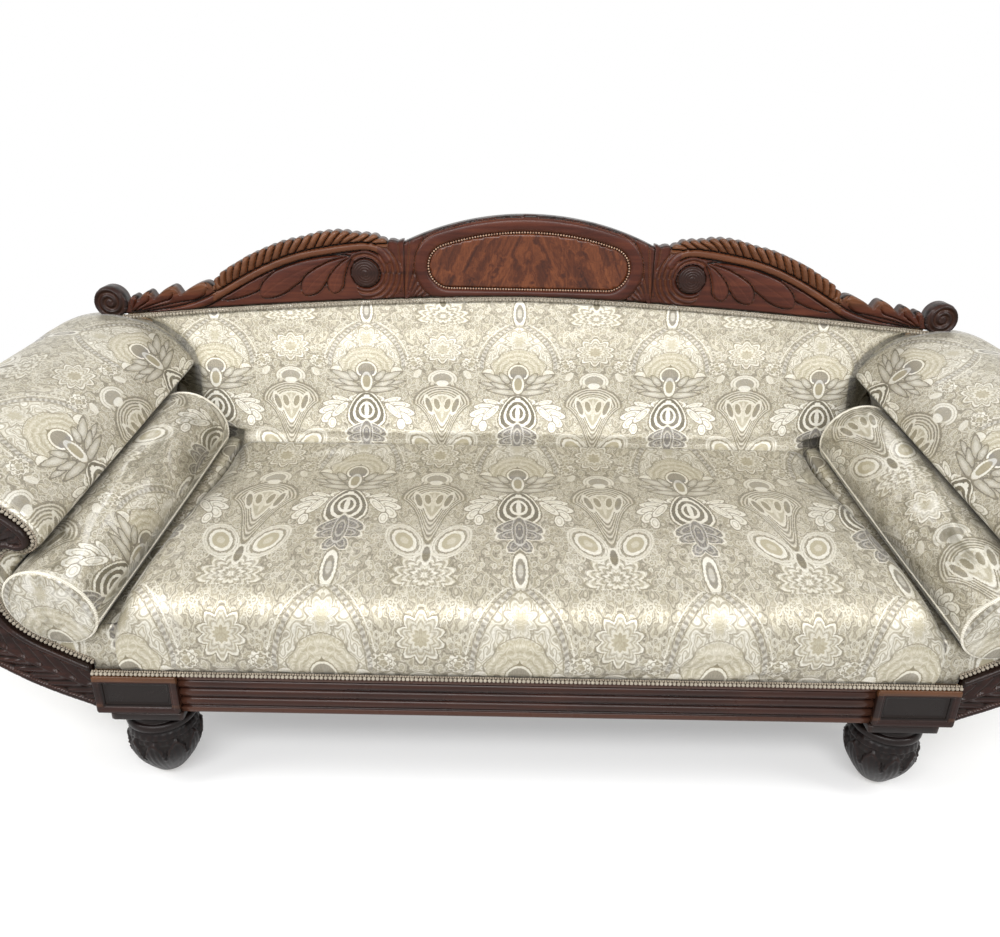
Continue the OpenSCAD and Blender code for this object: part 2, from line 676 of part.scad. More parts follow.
// The end stiles stand just inside the stuffing of the arms
back_stile_x = wall_x(arm_y1) - stile_w/2 - gap;
module stile(x) {
    z0 = rail_top;
    z1 = top_rail_z0;
    beam([[frame_y(z0), z0], [frame_y(z0) + back_t, z0], [frame_y(z1) + back_t, z1], [frame_y(z1), z1]],
        x - stile_w/2, x + stile_w/2);
}

module back_stile(side) {
    placed() beech() stile(side*back_stile_x);
}

module back_stiles_middle() {
    placed() beech() for (s = [-1, 1]) stile(s*middle_stile_x);
}

top_rail_half = 900;
crest_line_steps = 24;
crest_line = [for (i = [0:crest_line_steps])
    let (x = lerp(-top_rail_half, top_rail_half, i/crest_line_steps))
    [x, crest_low(x) - gap]];
dowel_x_shares = [-0.724, -0.465, -0.155, 0.155, 0.465, 0.724];
dowel_x_places = [for (s = dowel_x_shares) s*crest_half];
dowel_y = (top_rail_y0 + crest_y + crest_t)/2;
module dowels(r, more) {
    for (x = dowel_x_places) translate([x, dowel_y, crest_low(x) - dowel_len/2 - more])
        cylinder(h = dowel_len + 2*more, r = r);
}

module back_top_rail() {
    placed() beech() difference() {
        plate(concat([[top_rail_half, top_rail_z0], [-top_rail_half, top_rail_z0]], crest_line),
            top_rail_y0, top_rail_y0 + back_t);
        dowels(dowel_r + run_gap, over);
    }
}

module crest_dowels() {
    placed() beech() dowels(dowel_r, 0);
}

lower_rail_z = 355;
lower_rail_h = 40;
module back_lower_rail() {
    z0 = lower_rail_z;
    z1 = z0 + lower_rail_h;
    section = [[frame_y(z0), z0], [frame_y(z0) + back_t, z0], [frame_y(z1) + back_t, z1], [frame_y(z1), z1]];
    placed() beech() {
        beam(section, -middle_stile_x + stile_w/2, middle_stile_x - stile_w/2);
        for (s = [-1, 1]) mirrored(s)
            beam(section, middle_stile_x + stile_w/2, back_stile_x - stile_w/2);
    }
}

hessian_half = back_stile_x + stile_w/2;
hessian_lift = 10;
hessian_lap = 20;
module back_hessian() {
    z0 = rail_top + hessian_lift;
    z1 = top_rail_z0 + hessian_lap;
    placed() color([0.70, 0.60, 0.42]) beam([[frame_y(z0) - gap - cloth_t, z0], [frame_y(z0) - gap, z0],
        [frame_y(z1) - gap, z1], [frame_y(z1) - gap - cloth_t, z1]], -hessian_half, hessian_half);
}

// Half width of the back pad at a height: narrow between the arms' lower parts, then out to the
// arms' noses, then over the rolls
back_pad_room = 3.5;
back_pocket_reach = 11;
back_over_rail = 5;
back_pad_narrow = wall_x(arm_y1) - back_pad_room;
back_pad_wide = roll_root_back[0] + back_pocket_reach;
back_pad_full = top_rail_half + back_over_rail;
back_notch_rise = 17;
back_notch_run = 18;
back_over_roll = 3;
back_shoulder_h = 113;
back_shoulder_shares = [[0, 0.02], [0.30, 0.09], [0.55, 0.25], [0.80, 0.49], [0.94, 0.76]];
back_edge_table = concat([[pad_z0, back_pad_narrow], [seat_back_top + back_notch_rise, back_pad_narrow],
    [seat_back_top + back_notch_rise + back_notch_run, back_pad_wide]],
    [for (s = back_shoulder_shares) [lerp(roll_top_back - back_shoulder_h, roll_top_back, s[0]),
        lerp(back_pad_wide, back_pad_full, s[1])]],
    [[roll_top_back + back_over_roll, back_pad_full]]);
// Front surface: depth behind the seat's end as a share of the rake, at shares of the height
back_front_shares = [[0, 0], [0.2, 0], [0.36, 0], [0.40, 0], [0.44, 0.06], [0.48, 0.17], [0.55, 0.32],
    [0.65, 0.47], [0.75, 0.60], [0.85, 0.76], [0.93, 0.89], [0.975, 0.97], [1, 1.04]];
back_top_lap = 6;
back_top_room = 2;
back_rake = crest_y + back_top_lap - seat_d;
back_station_shares = [-1, -0.985, -0.95, -0.88, -0.75, -0.6, -0.4, -0.2, 0,
                       0.2, 0.4, 0.6, 0.75, 0.88, 0.95, 0.985, 1];
module back_pad() {
    rows = [for (s = back_station_shares) let (top = crest_low(s*back_pad_full) - gap - back_top_room) [
        [for (p = back_front_shares) let (z = lerp(pad_z0, top, p[0]))
            [s*table(back_edge_table, z), seat_d + gap + p[1]*back_rake, z]],
        [for (p = back_front_shares) let (z = lerp(pad_z0, top, p[0]))
            [s*table(back_edge_table, z),
             min(frame_y(z), top_rail_y0) - 2*gap - cloth_t, z]]]];
    placed() fabric() mirror([1, 0, 0]) between(rows);
}

// Plain cloth on the outside of the back, taut from the back rail to the top rail
outside_past_stile = 100;
outside_half = back_stile_x + stile_w/2 + outside_past_stile;
outside_lift = 10;
outside_edge = 5;
outside_step_shares = [0.02, 0.04, 0.06, 1];
outside_x_shares = [-1, -0.93, -0.84, -0.65, -0.45, -0.2, 0, 0.2, 0.45, 0.65, 0.84, 0.93, 1];
module back_outside() {
    wide = top_rail_half - outside_edge;
    function path(x) = let (top = crest_low(x) - outside_edge, low = frame_d + gap,
        high = top_rail_y0 + back_t + gap) abs(x) > outside_half ?
        [for (s = outside_step_shares) [high, lerp(top_rail_z0, top, s)]] :
        [[low, rail_z + outside_lift], [low, rail_top], [high, top_rail_z0], [high, top]];
    x_places = [for (s = outside_x_shares) s*wide];
    stations = concat([for (x = x_places) if (x < -outside_half) x], [-outside_half - over],
        [-outside_half], [for (x = x_places) if (abs(x) < outside_half) x],
        [outside_half], [outside_half + over], [for (x = x_places) if (x > outside_half) x]);
    rows = [for (x = stations) let (p = path(x))
        [[for (q = p) [x, q[0], q[1]]], [for (q = p) [x, q[0] + cloth_t, q[1]]]]];
    placed() fabric() between(rows);
}

// Crest

crest_back_y = crest_y + crest_t;
crest_arch_share = 0.36;
crest_arch_rise = (crest_top - crest_base)*crest_arch_share;
crest_arch_r = (pow(crest_tablet_half, 2) + pow(crest_arch_rise, 2))/(2*crest_arch_rise);
crest_arch_z = crest_top - crest_arch_r;
arch_half_angle = asin(crest_tablet_half/crest_arch_r);
arch_steps = 24;
function arc_path(c, r, a0, a1, n) = [for (i = [0:n]) let (a = lerp(a0, a1, i/n)) c + r*[cos(a), sin(a)]];

// Sunk panel with an arched top and round ends; more widens it all round
panel_frame = 38;
panel_corner_r = 45;
panel_lift = 17;
panel_base_z = crest_base + panel_lift;
panel_sink = 6;
corner_steps = 12;
panel_t = 4;
bead_w = 5;
panel_corner_z = panel_base_z + panel_corner_r;
panel_arch_r = crest_arch_r - panel_frame;
panel_corner_x = sqrt(pow(panel_arch_r - panel_corner_r, 2) - pow(panel_corner_z - crest_arch_z, 2));
panel_angle = atan2(panel_corner_z - crest_arch_z, panel_corner_x);
function panel_outline(more) = concat(
    arc_path([panel_corner_x, panel_corner_z], panel_corner_r + more, -90, panel_angle, corner_steps),
    arc_path([0, crest_arch_z], panel_arch_r + more, panel_angle, 180 - panel_angle, arch_steps),
    arc_path([-panel_corner_x, panel_corner_z], panel_corner_r + more, 180 - panel_angle, 270,
        corner_steps));

module crest_tablet() {
    base = [for (i = [0:8]) let (x = lerp(-crest_tablet_half, crest_tablet_half, i/8)) [x, crest_low(x)]];
    top = arc_path([0, crest_arch_z], crest_arch_r, 90 - arch_half_angle, 90 + arch_half_angle, arch_steps);
    placed() wood() difference() {
        plate(concat(base, top), crest_y, crest_back_y);
        plate(panel_outline(bead_w), crest_y - over, crest_y + panel_sink);
        dowels(dowel_r + run_gap, over);
    }
}

module crest_panel() {
    placed() wood(1.7) plate(panel_outline(-gap), crest_y + panel_sink - panel_t, crest_y + panel_sink);
}

module crest_beading() {
    placed() wood(1.3) difference() {
        plate(panel_outline(bead_w - gap/2), crest_y + over, crest_y + panel_sink);
        plate(panel_outline(0), crest_y, crest_y + panel_sink + over);
    }
}

// Wing outline over the lower edge: shares of the way from the tablet to the end, and of the height
wing_top_shares = [[0.008, 0.740], [0.058, 0.700], [0.104, 0.780], [0.150, 0.796], [0.196, 0.828],
    [0.257, 0.824], [0.321, 0.744], [0.387, 0.728], [0.480, 0.616], [0.522, 0.584], [0.611, 0.424],
    [0.649, 0.348], [0.671, 0.336], [0.763, 0.252], [0.813, 0.232], [0.850, 0.185]];
wing_end_drop = 6;
crest_z0 = crest_base - crest_fall - wing_end_drop;
crest_rise = crest_top - crest_z0;
volute_share = [0.9457, 0.148];
volute_r = 35;
volute_proud = 4;
boss_share = [0.121, 0.468];
boss_r = 37;
boss_proud = 8;
module crest_wing(side) {
    function wing_point(s) = [lerp(crest_tablet_half, crest_half, s[0]), crest_z0 + s[1]*crest_rise];
    volute = wing_point(volute_share);
    base = [for (i = [0:12]) let (x = lerp(crest_tablet_half + gap/2, volute[0], i/12)) [x, crest_low(x)]];
    boss = wing_point(boss_share);
    top = smooth([for (s = wing_top_shares) wing_point(s)], 2);
    placed() wood() mirrored(side) difference() {
        union() {
            plate(concat(base, [volute], reversed(top), [[crest_tablet_half + gap/2, top[0][1]]]),
                crest_y, crest_back_y);
            translate([volute[0], crest_back_y, volute[1]]) rotate([90, 0, 0])
                cylinder(h = crest_t + volute_proud, r = volute_r);
            translate([boss[0], crest_back_y, boss[1]]) rotate([90, 0, 0])
                cylinder(h = crest_t + boss_proud, r = boss_r);
        }
        dowels(dowel_r + run_gap, over);
    }
}

// Bolsters: a full barrel with piped ends and a soft dome on each end
module bolster(side) {
    barrel_steps = 8;
    dome_steps = 4;
    r0 = bolster_r - piping_r;
    dome = [for (i = [0:dome_steps]) [r0*sin(90*i/dome_steps), -bolster_dome*cos(90*i/dome_steps)]];
    side_line = [for (i = [0:barrel_steps]) let (s = i/barrel_steps, swell = sin(180*s))
        [r0 + piping_r*(barrel_share + (1 - barrel_share)*swell) + bolster_barrel*barrel_share*swell,
         lerp(2*piping_r, bolster_len - 2*piping_r, s)]];
    far = [for (p = reversed(dome)) [p[0], bolster_len - p[1]]];
    tilt = acos(bolster_dir[2]);
    turn = atan2(bolster_dir[1], bolster_dir[0]);
    placed() fabric() mirrored(side) translate(bolster_front) rotate([0, tilt, turn]) {
        rotate_extrude($fn = fine_fn) union() {
            polygon(concat(dome, [[r0, 0]], side_line, [[r0, bolster_len]], far));
            for (z = [piping_r, bolster_len - piping_r])
                translate([r0, z]) circle(r = piping_r, $fn = 24);
        }
    }
}

front_rail();
back_rail();
end_rail(-1);  // end_rail_left
end_rail(1);  // end_rail_right
cross_rails();
corner_braces();
reeded_facing();
tablet(-1);  // tablet_left
tablet(1);  // tablet_right
foot(foot_places[0]);  // foot_front_left
foot(foot_places[1]);  // foot_front_right
foot(foot_places[2]);  // foot_back_left
foot(foot_places[3]);  // foot_back_right
caster_sockets();
arm_facing(-1);  // arm_facing_left
arm_facing(1);  // arm_facing_right
arm_front_board(-1);  // arm_front_board_left
arm_front_board(1);  // arm_front_board_right
arm_back_board(-1);  // arm_back_board_left
arm_back_board(1);  // arm_back_board_right
arm_rails(-1);  // arm_rails_left
arm_rails(1);  // arm_rails_right
arm_pad(-1);  // arm_pad_left
arm_pad(1);  // arm_pad_right
arm_braid(-1);  // arm_braid_left
arm_braid(1);  // arm_braid_right
arm_outside(-1);  // arm_outside_left
arm_outside(1);  // arm_outside_right
arm_back_cover(-1);  // arm_back_cover_left
arm_back_cover(1);  // arm_back_cover_right
back_stile(-1);  // back_stile_left
back_stile(1);  // back_stile_right
back_stiles_middle();
back_top_rail();
back_lower_rail();
back_hessian();
back_pad();
back_outside();
crest_tablet();
crest_panel();
crest_beading();
crest_wing(-1);  // crest_wing_left
crest_wing(1);  // crest_wing_right
crest_dowels();
seat_webbing();
seat_springs();
seat_hessian();
seat_pad();
dust_cover();
seat_braid();
bolster(-1);  // bolster_left
bolster(1);  // bolster_right
caster_horn(foot_places[0]);  // caster_horn_front_left
caster_wheel(foot_places[0]);  // caster_wheel_front_left
caster_horn(foot_places[1]);  // caster_horn_front_right
caster_wheel(foot_places[1]);  // caster_wheel_front_right
caster_horn(foot_places[2]);  // caster_horn_back_left
caster_wheel(foot_places[2]);  // caster_wheel_back_left
caster_horn(foot_places[3]);  // caster_horn_back_right
caster_wheel(foot_places[3]);  // caster_wheel_back_right
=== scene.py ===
"""The looks of the double-ended settee: carved mahogany, damask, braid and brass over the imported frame."""
import json
import math

import bpy
import numpy as np
from mathutils import Matrix, Vector
from mathutils.geometry import delaunay_2d_cdt


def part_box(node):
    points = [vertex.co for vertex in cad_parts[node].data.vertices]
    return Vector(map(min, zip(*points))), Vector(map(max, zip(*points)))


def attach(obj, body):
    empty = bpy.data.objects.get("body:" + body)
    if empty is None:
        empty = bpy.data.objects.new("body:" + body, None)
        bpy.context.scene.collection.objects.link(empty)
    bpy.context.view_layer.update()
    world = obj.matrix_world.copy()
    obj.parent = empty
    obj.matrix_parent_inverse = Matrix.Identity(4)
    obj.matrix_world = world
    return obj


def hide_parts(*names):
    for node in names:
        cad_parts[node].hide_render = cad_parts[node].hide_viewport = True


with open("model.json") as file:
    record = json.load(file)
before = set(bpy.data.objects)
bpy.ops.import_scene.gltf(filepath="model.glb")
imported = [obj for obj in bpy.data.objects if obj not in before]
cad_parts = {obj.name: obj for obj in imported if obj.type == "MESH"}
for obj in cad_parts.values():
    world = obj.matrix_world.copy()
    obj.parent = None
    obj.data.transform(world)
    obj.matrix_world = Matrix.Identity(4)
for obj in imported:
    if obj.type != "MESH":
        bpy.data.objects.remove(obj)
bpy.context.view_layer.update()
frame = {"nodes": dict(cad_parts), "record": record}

# Shapes are drawn in millimetres from the reeded face, as in the part's source, and set over the origin here
MM = 0.001
MIDDLE_Y = -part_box("reeded_facing")[0][1]/MM


def box_mm(node):
    """A CAD node's corners in millimetres, drawn from the reeded face."""
    low, high = (np.array(corner)/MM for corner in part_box(node))
    shift = np.array([0, MIDDLE_Y, 0])
    return low + shift, high + shift


# Small sums
def lerp(a, b, t):
    """The value that lies a share t of the way from a to b."""
    return a + (b - a)*t


def step_up(edge0, edge1, value):
    """Rises smoothly from 0 to 1 between two edges."""
    t = np.clip((value - edge0)/(edge1 - edge0), 0, 1)
    return t*t*(3 - 2*t)


def bell(value, middle, width):
    """1 at the middle, falling away on both sides."""
    return np.exp(-((value - middle)/width)**2)


def dome(share):
    """A half circle's height at a share of its half width."""
    return np.sqrt(np.maximum(0, 1 - share**2))


def ribs(turn, power=1.0):
    """Rounded ribs side by side, one for each half turn."""
    return np.abs(np.sin(turn))**power


def polar(points, centre):
    """Distance and angle of each point about a centre."""
    rel = points - centre
    return np.hypot(rel[:, 0], rel[:, 1]), np.arctan2(rel[:, 1], rel[:, 0])


def arc(centre, r, a0, a1, n):
    turn = np.linspace(a0, a1, n)
    return np.stack([centre[0] + r*np.cos(turn), centre[1] + r*np.sin(turn)], 1)


def closed_ring(outline):
    """An outline with its first point again at its end."""
    return np.concatenate([outline, outline[:1]])


def smooth(points, n):
    """A smooth open curve through points, with n steps from point to point."""
    p = np.array(points, dtype=float)
    last = len(p) - 1
    out = []
    for i in range(last):
        a, b, c, d = p[max(0, i - 1)], p[i], p[i + 1], p[min(last, i + 2)]
        for k in range(n):
            t = k/n
            out.append((2*b + (c - a)*t + (2*a - 5*b + 4*c - d)*t*t + (3*b - a - 3*c + d)*t**3)/2)
    out.append(p[last])
    return np.array(out)


def moved(path, distance):
    """The curve moved sideways, to the left of its direction."""
    ahead = np.roll(path, -1, axis=0)
    behind = np.roll(path, 1, axis=0)
    ahead[-1] = path[-1]
    behind[0] = path[0]
    way = ahead - behind
    left = np.stack([-way[:, 1], way[:, 0]], 1)/np.linalg.norm(way, axis=1)[:, None]
    return path + distance*left


def lengths(path):
    """Length along a path at each of its points."""
    steps = np.linalg.norm(np.diff(path, axis=0), axis=1)
    return np.concatenate([[0], np.cumsum(steps)])


def resampled(path, pitch):
    """Points at an even pitch along a path."""
    s = lengths(path)
    count = max(2, int(round(s[-1]/pitch)) + 1)
    at = np.linspace(0, s[-1], count)
    return np.stack([np.interp(at, s, path[:, k]) for k in range(path.shape[1])], 1)


def nearest(points, path):
    """Distance from each point to a path, and the length along the path and the side (+ left) there."""
    s = lengths(path)
    a, b = path[:-1], path[1:]
    way = b - a
    size = np.maximum((way**2).sum(1), 1e-9)
    best = np.full(len(points), 1e9)
    along = np.zeros(len(points))
    side = np.ones(len(points))
    for i in range(len(a)):
        rel = points - a[i]
        t = np.clip((rel @ way[i])/size[i], 0, 1)
        gap = rel - t[:, None]*way[i]
        d = np.hypot(gap[:, 0], gap[:, 1])
        closer = d < best
        best[closer] = d[closer]
        along[closer] = (s[i] + t*math.sqrt(size[i]))[closer]
        turn = way[i][0]*rel[:, 1] - way[i][1]*rel[:, 0]
        side[closer] = np.where(turn >= 0, 1, -1)[closer]
    return best, along, side


def inside(points, outline):
    """True where a point lies inside a closed outline."""
    x, z = points[:, 0], points[:, 1]
    hit = np.zeros(len(points), dtype=bool)
    for (x0, z0), (x1, z1) in zip(outline, np.roll(outline, -1, axis=0)):
        if z0 == z1:
            continue
        crosses = (z0 > z) != (z1 > z)
        hit ^= crosses & (x < (x1 - x0)*(z - z0)/(z1 - z0) + x0)
    return hit


# Making pieces
def dressed(name, points, faces, material, body="frame", nodes=(), corner_uv=None, relief=None, shade=None,
            crease=None):
    """A piece of the object from points in millimetres, with sharp edges where faces meet at over crease."""
    mesh = bpy.data.meshes.new(name)
    in_metres = (np.asarray(points, dtype=float) - np.array([0, MIDDLE_Y, 0]))*MM
    mesh.from_pydata(in_metres.tolist(), [], [tuple(int(i) for i in f) for f in faces])
    if corner_uv is not None:
        layer = mesh.uv_layers.new(name="cloth")
        layer.data.foreach_set("uv", (np.asarray(corner_uv, dtype=float)*MM).ravel())
    for label, values in (("relief", relief), ("shade", shade)):
        if values is not None:
            attribute = mesh.attributes.new(label, "FLOAT", "POINT")
            attribute.data.foreach_set("value", np.asarray(values, dtype=float))
    mesh.polygons.foreach_set("use_smooth", [True]*len(mesh.polygons))
    mesh.materials.append(material)
    mesh.update()
    piece = bpy.data.objects.new(name, mesh)
    bpy.context.scene.collection.objects.link(piece)
    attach(piece, body)
    if nodes:
        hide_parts(*nodes)
    if crease:
        sharpen(piece, crease)
    return piece


def sharpen(piece, angle):
    """Edges over an angle in degrees stay crisp and the rest is shaded smooth."""
    bpy.context.view_layer.objects.active = piece
    piece.select_set(True)
    bpy.ops.object.shade_auto_smooth(angle=math.radians(angle))
    piece.select_set(False)
    bpy.context.view_layer.update()
    for modifier in list(piece.modifiers):
        with bpy.context.temp_override(object=piece, active_object=piece):
            bpy.ops.object.modifier_apply(modifier=modifier.name)


def skin(rows, uv=None, closed=True, caps=True):
    """Faces and face corner places over rows of points: rows[n, m, 3], uv[n, m or m + 1, 2]."""
    n, m = rows.shape[:2]
    columns = m if closed else m - 1
    i, j = np.meshgrid(np.arange(n - 1), np.arange(columns), indexing="ij")
    i, j = i.ravel(), j.ravel()
    k = (j + 1) % m
    faces = np.stack([i*m + j, i*m + k, (i + 1)*m + k, (i + 1)*m + j], 1).tolist()
    corners = None
    if uv is not None:
        quads = np.stack([uv[i, j], uv[i, j + 1], uv[i + 1, j + 1], uv[i + 1, j]], 1)
        corners = quads.reshape(-1, 2)
    if caps:
        first = list(range(m))[::-1]
        last = [(n - 1)*m + c for c in range(m)]
        faces += [first, last]
        if uv is not None:
            corners = np.concatenate([corners, uv[0, first], uv[n - 1, :m]])
    return rows.reshape(-1, 3), faces, corners


def carved(name, outline, y_front, y_back, relief, pitch, material, crease, side=1, nodes=(), edge=3.0,
           round_depth=3.0, shade=None, square=None, cloth=False):
    """A board cut to an outline of x and z, whose front is raised and sunk by relief(points).

    Its edges are rounded except where square(points) holds, and shade(points) gives painted golden highlights
    where it is above 0 and darker places where it is below 0.
    """
    outline = np.asarray(outline, dtype=float)
    low, high = outline.min(0), outline.max(0)
    gx, gz = np.meshgrid(np.arange(low[0], high[0], pitch), np.arange(low[1], high[1], pitch*0.88))
    gx = gx + (np.arange(gx.shape[0]) % 2)[:, None]*pitch/2
    grid = np.stack([gx.ravel(), gz.ravel()], 1)
    grid = grid[inside(grid, outline)]
    ring = closed_ring(outline)
    grid = grid[nearest(grid, ring)[0] > pitch*0.45]
    seeds = np.concatenate([outline, grid])
    cut = delaunay_2d_cdt([Vector(p) for p in seeds], [], [list(range(len(outline)))], 1, 1e-3)
    flat_points = np.array([[v.x, v.y] for v in cut[0]])
    faces = [list(f) for f in cut[2]]
    fall = np.clip(1 - nearest(flat_points, ring)[0]/edge, 0, 1)
    if square is not None:
        fall[square(flat_points)] = 0
    height = relief(flat_points) - round_depth*(1 - dome(fall))
    count = len(flat_points)
    front = np.stack([side*flat_points[:, 0], y_front - height, flat_points[:, 1]], 1)
    back = np.stack([side*flat_points[:, 0], np.full(count, float(y_back)), flat_points[:, 1]], 1)
    uses = {}
    for f in faces:
        for a, b in zip(f, f[1:] + f[:1]):
            uses[(a, b)] = uses.get((a, b), 0) + 1
    rim = [(a, b) for (a, b) in uses if (b, a) not in uses]
    walls = [(b, a, a + count, b + count) for a, b in rim]
    rear = [[i + count for i in f[::-1]] for f in faces]
    every = faces + walls + rear
    if side > 0:
        every = [f[::-1] for f in every]
    points = np.concatenate([front, back])
    if cloth:
        corners = np.array([points[i][[0, 2]] for f in every for i in f])
        return dressed(name, points, every, material, nodes=nodes, corner_uv=corners, crease=crease)
    plain = np.zeros(count)
    shade_values = plain if shade is None else shade(flat_points)
    return dressed(name, points, every, material, nodes=nodes, relief=np.concatenate([height, plain]),
                   shade=np.concatenate([shade_values, plain]), crease=crease)


def flipped(faces, corners):
    """The same faces seen from the other side, with their corner places."""
    order = []
    for f in faces:
        order += range(len(order) + len(f) - 1, len(order) - 1, -1)
    return [list(f)[::-1] for f in faces], (None if corners is None else corners[order])


def wrapped(name, rows, material, places=None, flip=False, closed=True, caps=True, **more):
    """A piece whose skin runs over rows of points."""
    cloth = None if places is None else np.array(places)
    points, faces, corners = skin(np.array(rows), cloth, closed, caps)
    if flip:
        faces, corners = flipped(faces, corners)
    return dressed(name, points, faces, material, corner_uv=corners, **more)


# Node sums for materials
class Sum:
    """A socket in a shader tree that can be added, multiplied and so on in plain sums."""

    def __init__(self, tree, socket):
        self.tree, self.socket = tree, socket

    def made(self, operation, *values, clamp=False):
        node = self.tree.nodes.new("ShaderNodeMath")
        node.operation = operation
        node.use_clamp = clamp
        for slot, value in zip(node.inputs, (self,) + values):
            feed(self.tree, slot, value)
        return Sum(self.tree, node.outputs[0])

    def __rsub__(self, other):
        return self.made("MULTIPLY_ADD", -1.0, other)

    def hypot(self, other):
        return (self*self + other*other).power(0.5)

    def clamped(self):
        """The same value, held between 0 and 1."""
        return self.made("MULTIPLY", 1.0, clamp=True)

    def below(self, edge, soft=0.6):
        """1 under an edge and 0 over it, with a soft change."""
        return self.made("MULTIPLY_ADD", -1.0/soft, edge/soft + 0.5, clamp=True)


def sum_method(operation):
    """A method of Sum that makes one node of an operation."""
    return lambda self, *values: self.made(operation, *values)


for method, operation in {"__add__": "ADD", "__radd__": "ADD", "__sub__": "SUBTRACT", "__mul__": "MULTIPLY",
                          "__abs__": "ABSOLUTE", "sin": "SINE", "most": "MAXIMUM", "power": "POWER",
                          "fold": "PINGPONG", "wrap": "WRAP"}.items():
    setattr(Sum, method, sum_method(operation))


def feed(tree, socket, value):
    """Links a value to a socket, or sets the socket's own constant."""
    if isinstance(value, Sum):
        value = value.socket
    if isinstance(value, bpy.types.NodeSocket):
        tree.links.new(value, socket)
    else:
        socket.default_value = value


def fed(tree, node, **inputs):
    """The node with its inputs fed by name, where an underscore stands for a space."""
    for name, value in inputs.items():
        feed(tree, node.inputs[name.replace("_", " ")], value)
    return node


def new_node(tree, kind, **inputs):
    return fed(tree, tree.nodes.new("ShaderNode" + kind), **inputs)


def split_up(tree, vector):
    """The x, y and z of a vector."""
    node = tree.nodes.new("ShaderNodeSeparateXYZ")
    feed(tree, node.inputs[0], vector)
    return [Sum(tree, socket) for socket in node.outputs]


def over(tone, value, mask):
    """Lays a tone over another through a mask."""
    return tone + (value - tone)*mask


def new_material(name):
    """A material with its node tree and its main shader."""
    material = bpy.data.materials.new(name)
    material.use_nodes = True
    return material, material.node_tree, material.node_tree.nodes["Principled BSDF"]


def noise(tree, vector, scale, detail=2.0, rough=0.5, distortion=0.0):
    node = new_node(tree, "TexNoise", Scale=scale, Detail=detail, Roughness=rough, Distortion=distortion,
                    Vector=vector)
    return Sum(tree, node.outputs["Fac"])


def stretched(tree, scale):
    """Places on the object, stretched along its axes."""
    place = new_node(tree, "TexCoord").outputs["Object"]
    return new_node(tree, "Mapping", Scale=scale, Vector=place).outputs["Vector"]


def ramp(tree, value, stops):
    """A colour for a value, from stops of a place and a colour."""
    node = tree.nodes.new("ShaderNodeValToRGB")
    elements = node.color_ramp.elements
    while len(elements) < len(stops):
        elements.new(0.5)
    for element, (place, colour) in zip(elements, stops):
        element.position = place
        element.color = (*colour, 1)
    return fed(tree, node, Fac=value).outputs["Color"]


def mixed(tree, mask, a, b):
    """Colour a, and colour b where the mask is 1."""
    node = tree.nodes.new("ShaderNodeMix")
    node.data_type = "RGBA"
    for value, slot in ((mask, 0), (a, 6), (b, 7)):
        feed(tree, node.inputs[slot], (*value, 1) if isinstance(value, tuple) else value)
    return node.outputs[2]


def bumped(tree, shader, height, strength, distance):
    node = new_node(tree, "Bump", Strength=strength, Distance=distance, Height=height)
    fed(tree, shader, Normal=node.outputs["Normal"])


def painted(tree, label):
    """A value that the mesh holds at its points."""
    node = tree.nodes.new("ShaderNodeAttribute")
    node.attribute_name = label
    return Sum(tree, node.outputs["Fac"])


# Painted shade for grooves and sunk places, a golden painted highlight and a darker tone, laid over the
# wood's grain
GROOVE_SHADE = (0.012, 0.006, 0.004)
GOLDEN_HIGHLIGHT_WOOD = (0.225, 0.092, 0.035)
SUNK_SHADE_WOOD = (0.007, 0.004, 0.003)
DUSKY_WOOD = (0.010, 0.006, 0.005)
EVEN = (1, 1, 1)


def mahogany(name, dark, mid, light, rubbed_and_lit, grain=(1.2, 22, 22), roughness=0.33, polish=0.04):
    """French-polished mahogany: long grain, painted shade in the grooves and sunk places, and painted
    highlights on the high edges that also stand for rubbed wear.
    """
    material, tree, shader = new_material(name)
    streak = noise(tree, stretched(tree, grain), 3.0, 6.0, 0.62, 0.6)
    cloud = noise(tree, stretched(tree, EVEN), 7.0, 3.0)
    colour = ramp(tree, streak*0.65 + cloud*0.35, [(0.30, dark), (0.50, mid), (0.72, light)])
    point = Sum(tree, new_node(tree, "NewGeometry").outputs["Pointiness"])
    # Painted highlight on the high edges, partly rubbed wear
    colour = mixed(tree, ((point - 0.505)*14.0).clamped()*0.6, colour, rubbed_and_lit)
    # Painted shade in the grooves and hollows
    colour = mixed(tree, ((0.495 - point)*12.0).clamped()*0.8, colour, GROOVE_SHADE)
    height = painted(tree, "relief")
    shade = painted(tree, "shade")
    # Golden painted highlight where the mesh's shade value is above 0
    colour = mixed(tree, (shade*(streak*0.9 + 0.12)).clamped(), colour, GOLDEN_HIGHLIGHT_WOOD)
    # Painted shade in the relief's sunk places
    colour = mixed(tree, ((height + 2.2)*-0.38).clamped()*0.92, colour, SUNK_SHADE_WOOD)
    # Darker where the mesh's shade value is below 0: painted shade in the tablets' sunk panels, and darker on
    # the boss and the volute
    colour = mixed(tree, (shade*-1.0).clamped(), colour, DUSKY_WOOD)
    dust = noise(tree, stretched(tree, EVEN), 35.0, 4.0)
    fed(tree, shader, Base_Color=colour, Roughness=dust*0.22 + (roughness - 0.11), Specular_IOR_Level=0.20,
        Coat_Weight=polish, Coat_Roughness=0.14)
    bumped(tree, shader, streak + dust*0.5, 0.25, 0.0006)
    return material


